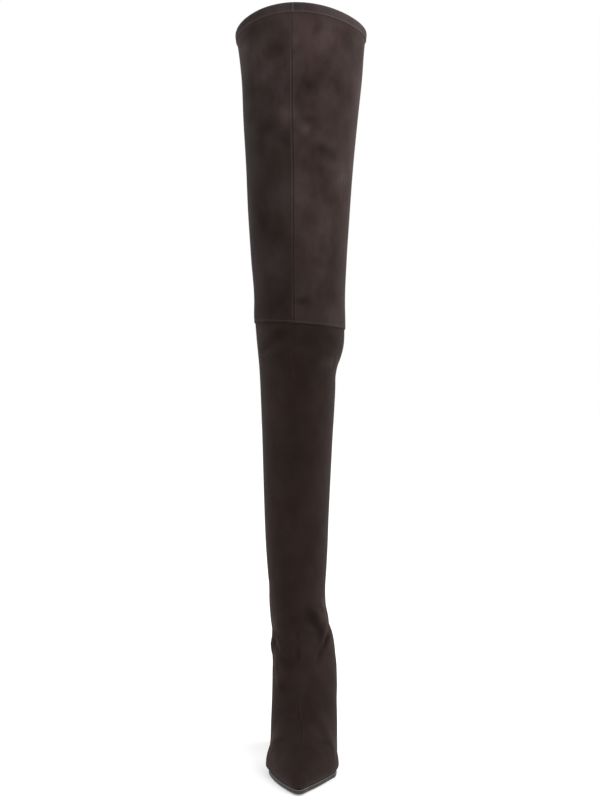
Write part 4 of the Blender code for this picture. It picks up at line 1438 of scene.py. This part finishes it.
def ramp(tree, source, stops):
    """Colours along a value from 0 to 1."""
    node = tree.nodes.new("ShaderNodeValToRGB")
    while len(node.color_ramp.elements) < len(stops):
        node.color_ramp.elements.new(0.5)
    for element, (place, colour) in zip(node.color_ramp.elements, stops):
        element.position = place
        element.color = (*colour, 1.0)
    tree.links.new(source, node.inputs["Fac"])
    return node.outputs["Color"]


def grey_ramp(tree, source, greys):
    """Greys that follow a noise from its low to its high values."""
    low, high = greys
    return ramp(tree, source, [(NOISE_LOW, (low,) * 3), (NOISE_HIGH, (high,) * 3)])


def map_range(tree, source, ends, results, clamp=False):
    """A value moved from one range to another."""
    node = tree.nodes.new("ShaderNodeMapRange")
    node.clamp = clamp
    set_inputs(node, {"From Min": ends[0], "From Max": ends[1],
                      "To Min": results[0], "To Max": results[1]})
    tree.links.new(source, node.inputs["Value"])
    return node.outputs["Result"]


def mix(tree, factor, first, second, blend="MIX"):
    """Mix two colours by a factor, which may be a number or a socket."""
    node = tree.nodes.new("ShaderNodeMix")
    node.data_type = "RGBA"
    node.blend_type = blend
    for socket, value in ((node.inputs[0], factor), (node.inputs[6], first),
                          (node.inputs[7], second)):
        if isinstance(value, bpy.types.NodeSocket):
            tree.links.new(value, socket)
        elif isinstance(value, tuple):
            socket.default_value = (*value, 1.0)
        else:
            socket.default_value = value
    return node.outputs[2]


def math_node(tree, kind, first, second, clamp=True):
    """Arithmetic on two values, kept between 0 and 1 where clamped."""
    node = tree.nodes.new("ShaderNodeMath")
    node.operation = kind
    node.use_clamp = clamp
    for socket, value in zip(node.inputs, (first, second)):
        if isinstance(value, bpy.types.NodeSocket):
            tree.links.new(value, socket)
        else:
            socket.default_value = value
    return node.outputs[0]


def suede_material(name, look):
    """Brushed suede: patches of laid nap and painted light, fibre grain, soft sheen, painted shade in
    folds and seams, painted highlights on ridges and edges.
    """
    material, tree, shader = new_material(name)
    coords = tree.nodes.new("ShaderNodeTexCoord").outputs["Object"]
    strokes = noise(tree, coords, *STROKES)
    fibre = noise(tree, coords, *FIBRES)
    colour = suede_colour(tree, coords, look, strokes, fibre)
    colour = mark_suede(tree, colour, look)
    tree.links.new(colour, shader.inputs["Base Color"])
    tree.links.new(grey_ramp(tree, strokes, SUEDE_ROUGHNESS), shader.inputs["Roughness"])
    set_inputs(shader, {"Specular IOR Level": SUEDE_GLOSS, "Sheen Weight": look.sheen,
                        "Sheen Roughness": SHEEN_ROUGHNESS, "Sheen Tint": (*look.sheen_tint, 1.0)})
    soft = bump(tree, strokes, *STROKE_BUMP)
    tree.links.new(bump(tree, fibre, *FIBRE_BUMP, soft), shader.inputs["Normal"])
    return material


def suede_colour(tree, coords, look, strokes, fibre):
    """Mottled colour of the suede, lighter or darker by level, by the painted light and shade of the
    panels, and by laid nap and painted light.
    """
    patches = noise(tree, coords, *PATCHES)
    level = math_node(tree, "ADD", math_node(tree, "MULTIPLY", patches, PATCH_SHARE),
                      math_node(tree, "MULTIPLY", strokes, 1 - PATCH_SHARE))
    colour = ramp(tree, level, [(NOISE_LOW, look.dark), (NOISE_MIDDLE, look.middle),
                                (NOISE_HIGH, look.light)])
    tint = ramp(tree, noise(tree, coords, *TINTS),
                [(MOTTLE_LOW, (0, 0, 0)), (MOTTLE_HIGH, (1, 1, 1))])
    tinted = mix(tree, 1.0, colour, mix(tree, tint, look.cool, look.warm), "MULTIPLY")
    colour = mix(tree, TINT_SHARE, colour, tinted)
    colour = mix(tree, 1.0, colour, grey_ramp(tree, fibre, FIBRE_SHADES), "MULTIPLY")
    height = tree.nodes.new("ShaderNodeSeparateXYZ")
    tree.links.new(coords, height.inputs["Vector"])
    amount = map_range(tree, height.outputs["Z"], (look.foot, look.head), (look.low, look.high), True)
    for value, start, share in (("panel", 0, look.panel / 2), ("nap", -1, NAP_CONTRAST)):
        factor = map_range(tree, attribute(tree, value), (start, 1), (1 - share, 1 + share))
        amount = math_node(tree, "MULTIPLY", amount, factor, False)
    scale = tree.nodes.new("ShaderNodeVectorMath")
    scale.operation = "SCALE"
    tree.links.new(colour, scale.inputs[0])
    tree.links.new(amount, scale.inputs["Scale"])
    return scale.outputs["Vector"]


def mark_suede(tree, colour, look):
    """Paint shade into the troughs and seams of the suede, and paint highlights on its ridges and
    edges.
    """
    fold = attribute(tree, "fold")
    trough = math_node(tree, "MULTIPLY", fold, -1.0)
    marks = [
        (trough, look.shade, CREASE_SHADE_COLOUR),
        (fold, look.ridge, look.rubbed),
        (attribute(tree, "seam"), look.seam_shade, SEAM_SHADE_COLOUR),
        (attribute(tree, "edge"), look.edge_light, look.rubbed),
    ]
    for value, strength, tone in marks:
        colour = mix(tree, math_node(tree, "MULTIPLY", value, strength), colour, tone)
    return colour


def attribute(tree, name):
    """A value stored on the mesh."""
    node = tree.nodes.new("ShaderNodeAttribute")
    node.attribute_name = name
    return node.outputs["Fac"]


def bump(tree, height, strength, distance, before=None):
    """Bump from a height, on top of another bump."""
    node = tree.nodes.new("ShaderNodeBump")
    node.inputs["Strength"].default_value = strength
    node.inputs["Distance"].default_value = distance
    tree.links.new(height, node.inputs["Height"])
    if before:
        tree.links.new(before, node.inputs["Normal"])
    return node.outputs["Normal"]


def plain_material(look):
    """Leather, lining or rubber: two mottled colours, a fine grain and its roughness."""
    material, tree, shader = new_material(look.name)
    coords = tree.nodes.new("ShaderNodeTexCoord").outputs["Object"]
    cloud = noise(tree, coords, look.scale, *CLOUD)
    fine = noise(tree, coords, look.scale * FINE_SCALE, *FINE)
    colour = ramp(tree, cloud, [(MOTTLE_LOW, look.first), (MOTTLE_HIGH, look.second)])
    # painted highlight on the edge
    if look.edge:
        amount = math_node(tree, "MULTIPLY", attribute(tree, "edge"), EDGE_HIGHLIGHT_SHARE)
        colour = mix(tree, amount, colour, look.edge)
    tree.links.new(colour, shader.inputs["Base Color"])
    tree.links.new(grey_ramp(tree, cloud, look.rough), shader.inputs["Roughness"])
    shader.inputs["Specular IOR Level"].default_value = look.gloss
    tree.links.new(bump(tree, fine, look.grain, FINE_DEPTH), shader.inputs["Normal"])
    return material


def make_stage():
    """White floor."""
    half = FLOOR_SIZE / 2
    plan = [(-half, -half), (half, -half), (half, half), (-half, half)]
    mesh = bpy.data.meshes.new("floor")
    mesh.from_pydata([(x, y, -FLOOR_DROP) for x, y in plan], [], [(0, 1, 2, 3)])
    material, _, shader = new_material("floor_white")
    set_inputs(shader, {"Base Color": FLOOR_COLOUR, "Roughness": FLOOR_ROUGHNESS,
                        "Specular IOR Level": 0.0, "Emission Color": WHITE,
                        "Emission Strength": FLOOR_GLOW})
    mesh.materials.append(material)
    floor = bpy.data.objects.new("floor", mesh)
    bpy.context.scene.collection.objects.link(floor)


def make_lights():
    """Soft studio light: a white room and three large panels."""
    world = bpy.data.worlds.new("studio")
    world.use_nodes = True
    set_inputs(world.node_tree.nodes["Background"], {"Color": WHITE, "Strength": ROOM_LIGHT})
    bpy.context.scene.world = world
    for row in LIGHTS:
        light = bpy.data.lights.new(row.name, "AREA")
        light.shape = "RECTANGLE"
        light.size, light.size_y = row.size
        light.energy = row.power
        light.color = row.colour
        lamp = bpy.data.objects.new(row.name, light)
        lamp.location = row.place
        aim = Vector(row.aim) - Vector(row.place)
        lamp.rotation_euler = aim.to_track_quat("-Z", "Y").to_euler()
        bpy.context.scene.collection.objects.link(lamp)


def make_camera():
    """The photograph's view: level, straight on to the toe."""
    camera = bpy.data.cameras.new("camera")
    camera.lens = CAMERA_LENS
    camera.sensor_width = CAMERA_SENSOR
    camera.clip_end = CAMERA_REACH
    holder = bpy.data.objects.new("camera", camera)
    holder.location = CAMERA_PLACE
    holder.rotation_euler = (pi / 2, 0, 0)
    bpy.context.scene.collection.objects.link(holder)
    bpy.context.scene.camera = holder
    bpy.context.scene.view_settings.view_transform = "Standard"


def main():
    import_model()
    make_camera()
    make_lights()
    make_stage()
    plain = {look.name: plain_material(look) for look in PLAIN_LOOKS}
    lower = suede_material("suede_lower", LOWER_LOOK)
    make_upper(lower, plain["lining"])
    panel = make_thigh(suede_material("suede_thigh", THIGH_LOOK), plain["lining"])
    loops = make_band(suede_material("suede_band", BAND_LOOK))
    make_stitches("knee_stitches", *row_path(panel, KNEE_STITCH_ROW), plain["thread"], "suede_thigh")
    make_stitches("collar_stitches", *band_path(loops), plain["thread"], "suede_band")
    make_plate("sock", SOCK_PROFILE, [plain["sock_lining"]] * 2, "insole", INSOLE_TOE)
    make_plate("sole", SOLE_PROFILE, [plain["sole_edge"], plain["sole_tread"]],
               "outsole")
    make_heel(lower)
    make_lift(plain["lift_rubber"])


main()
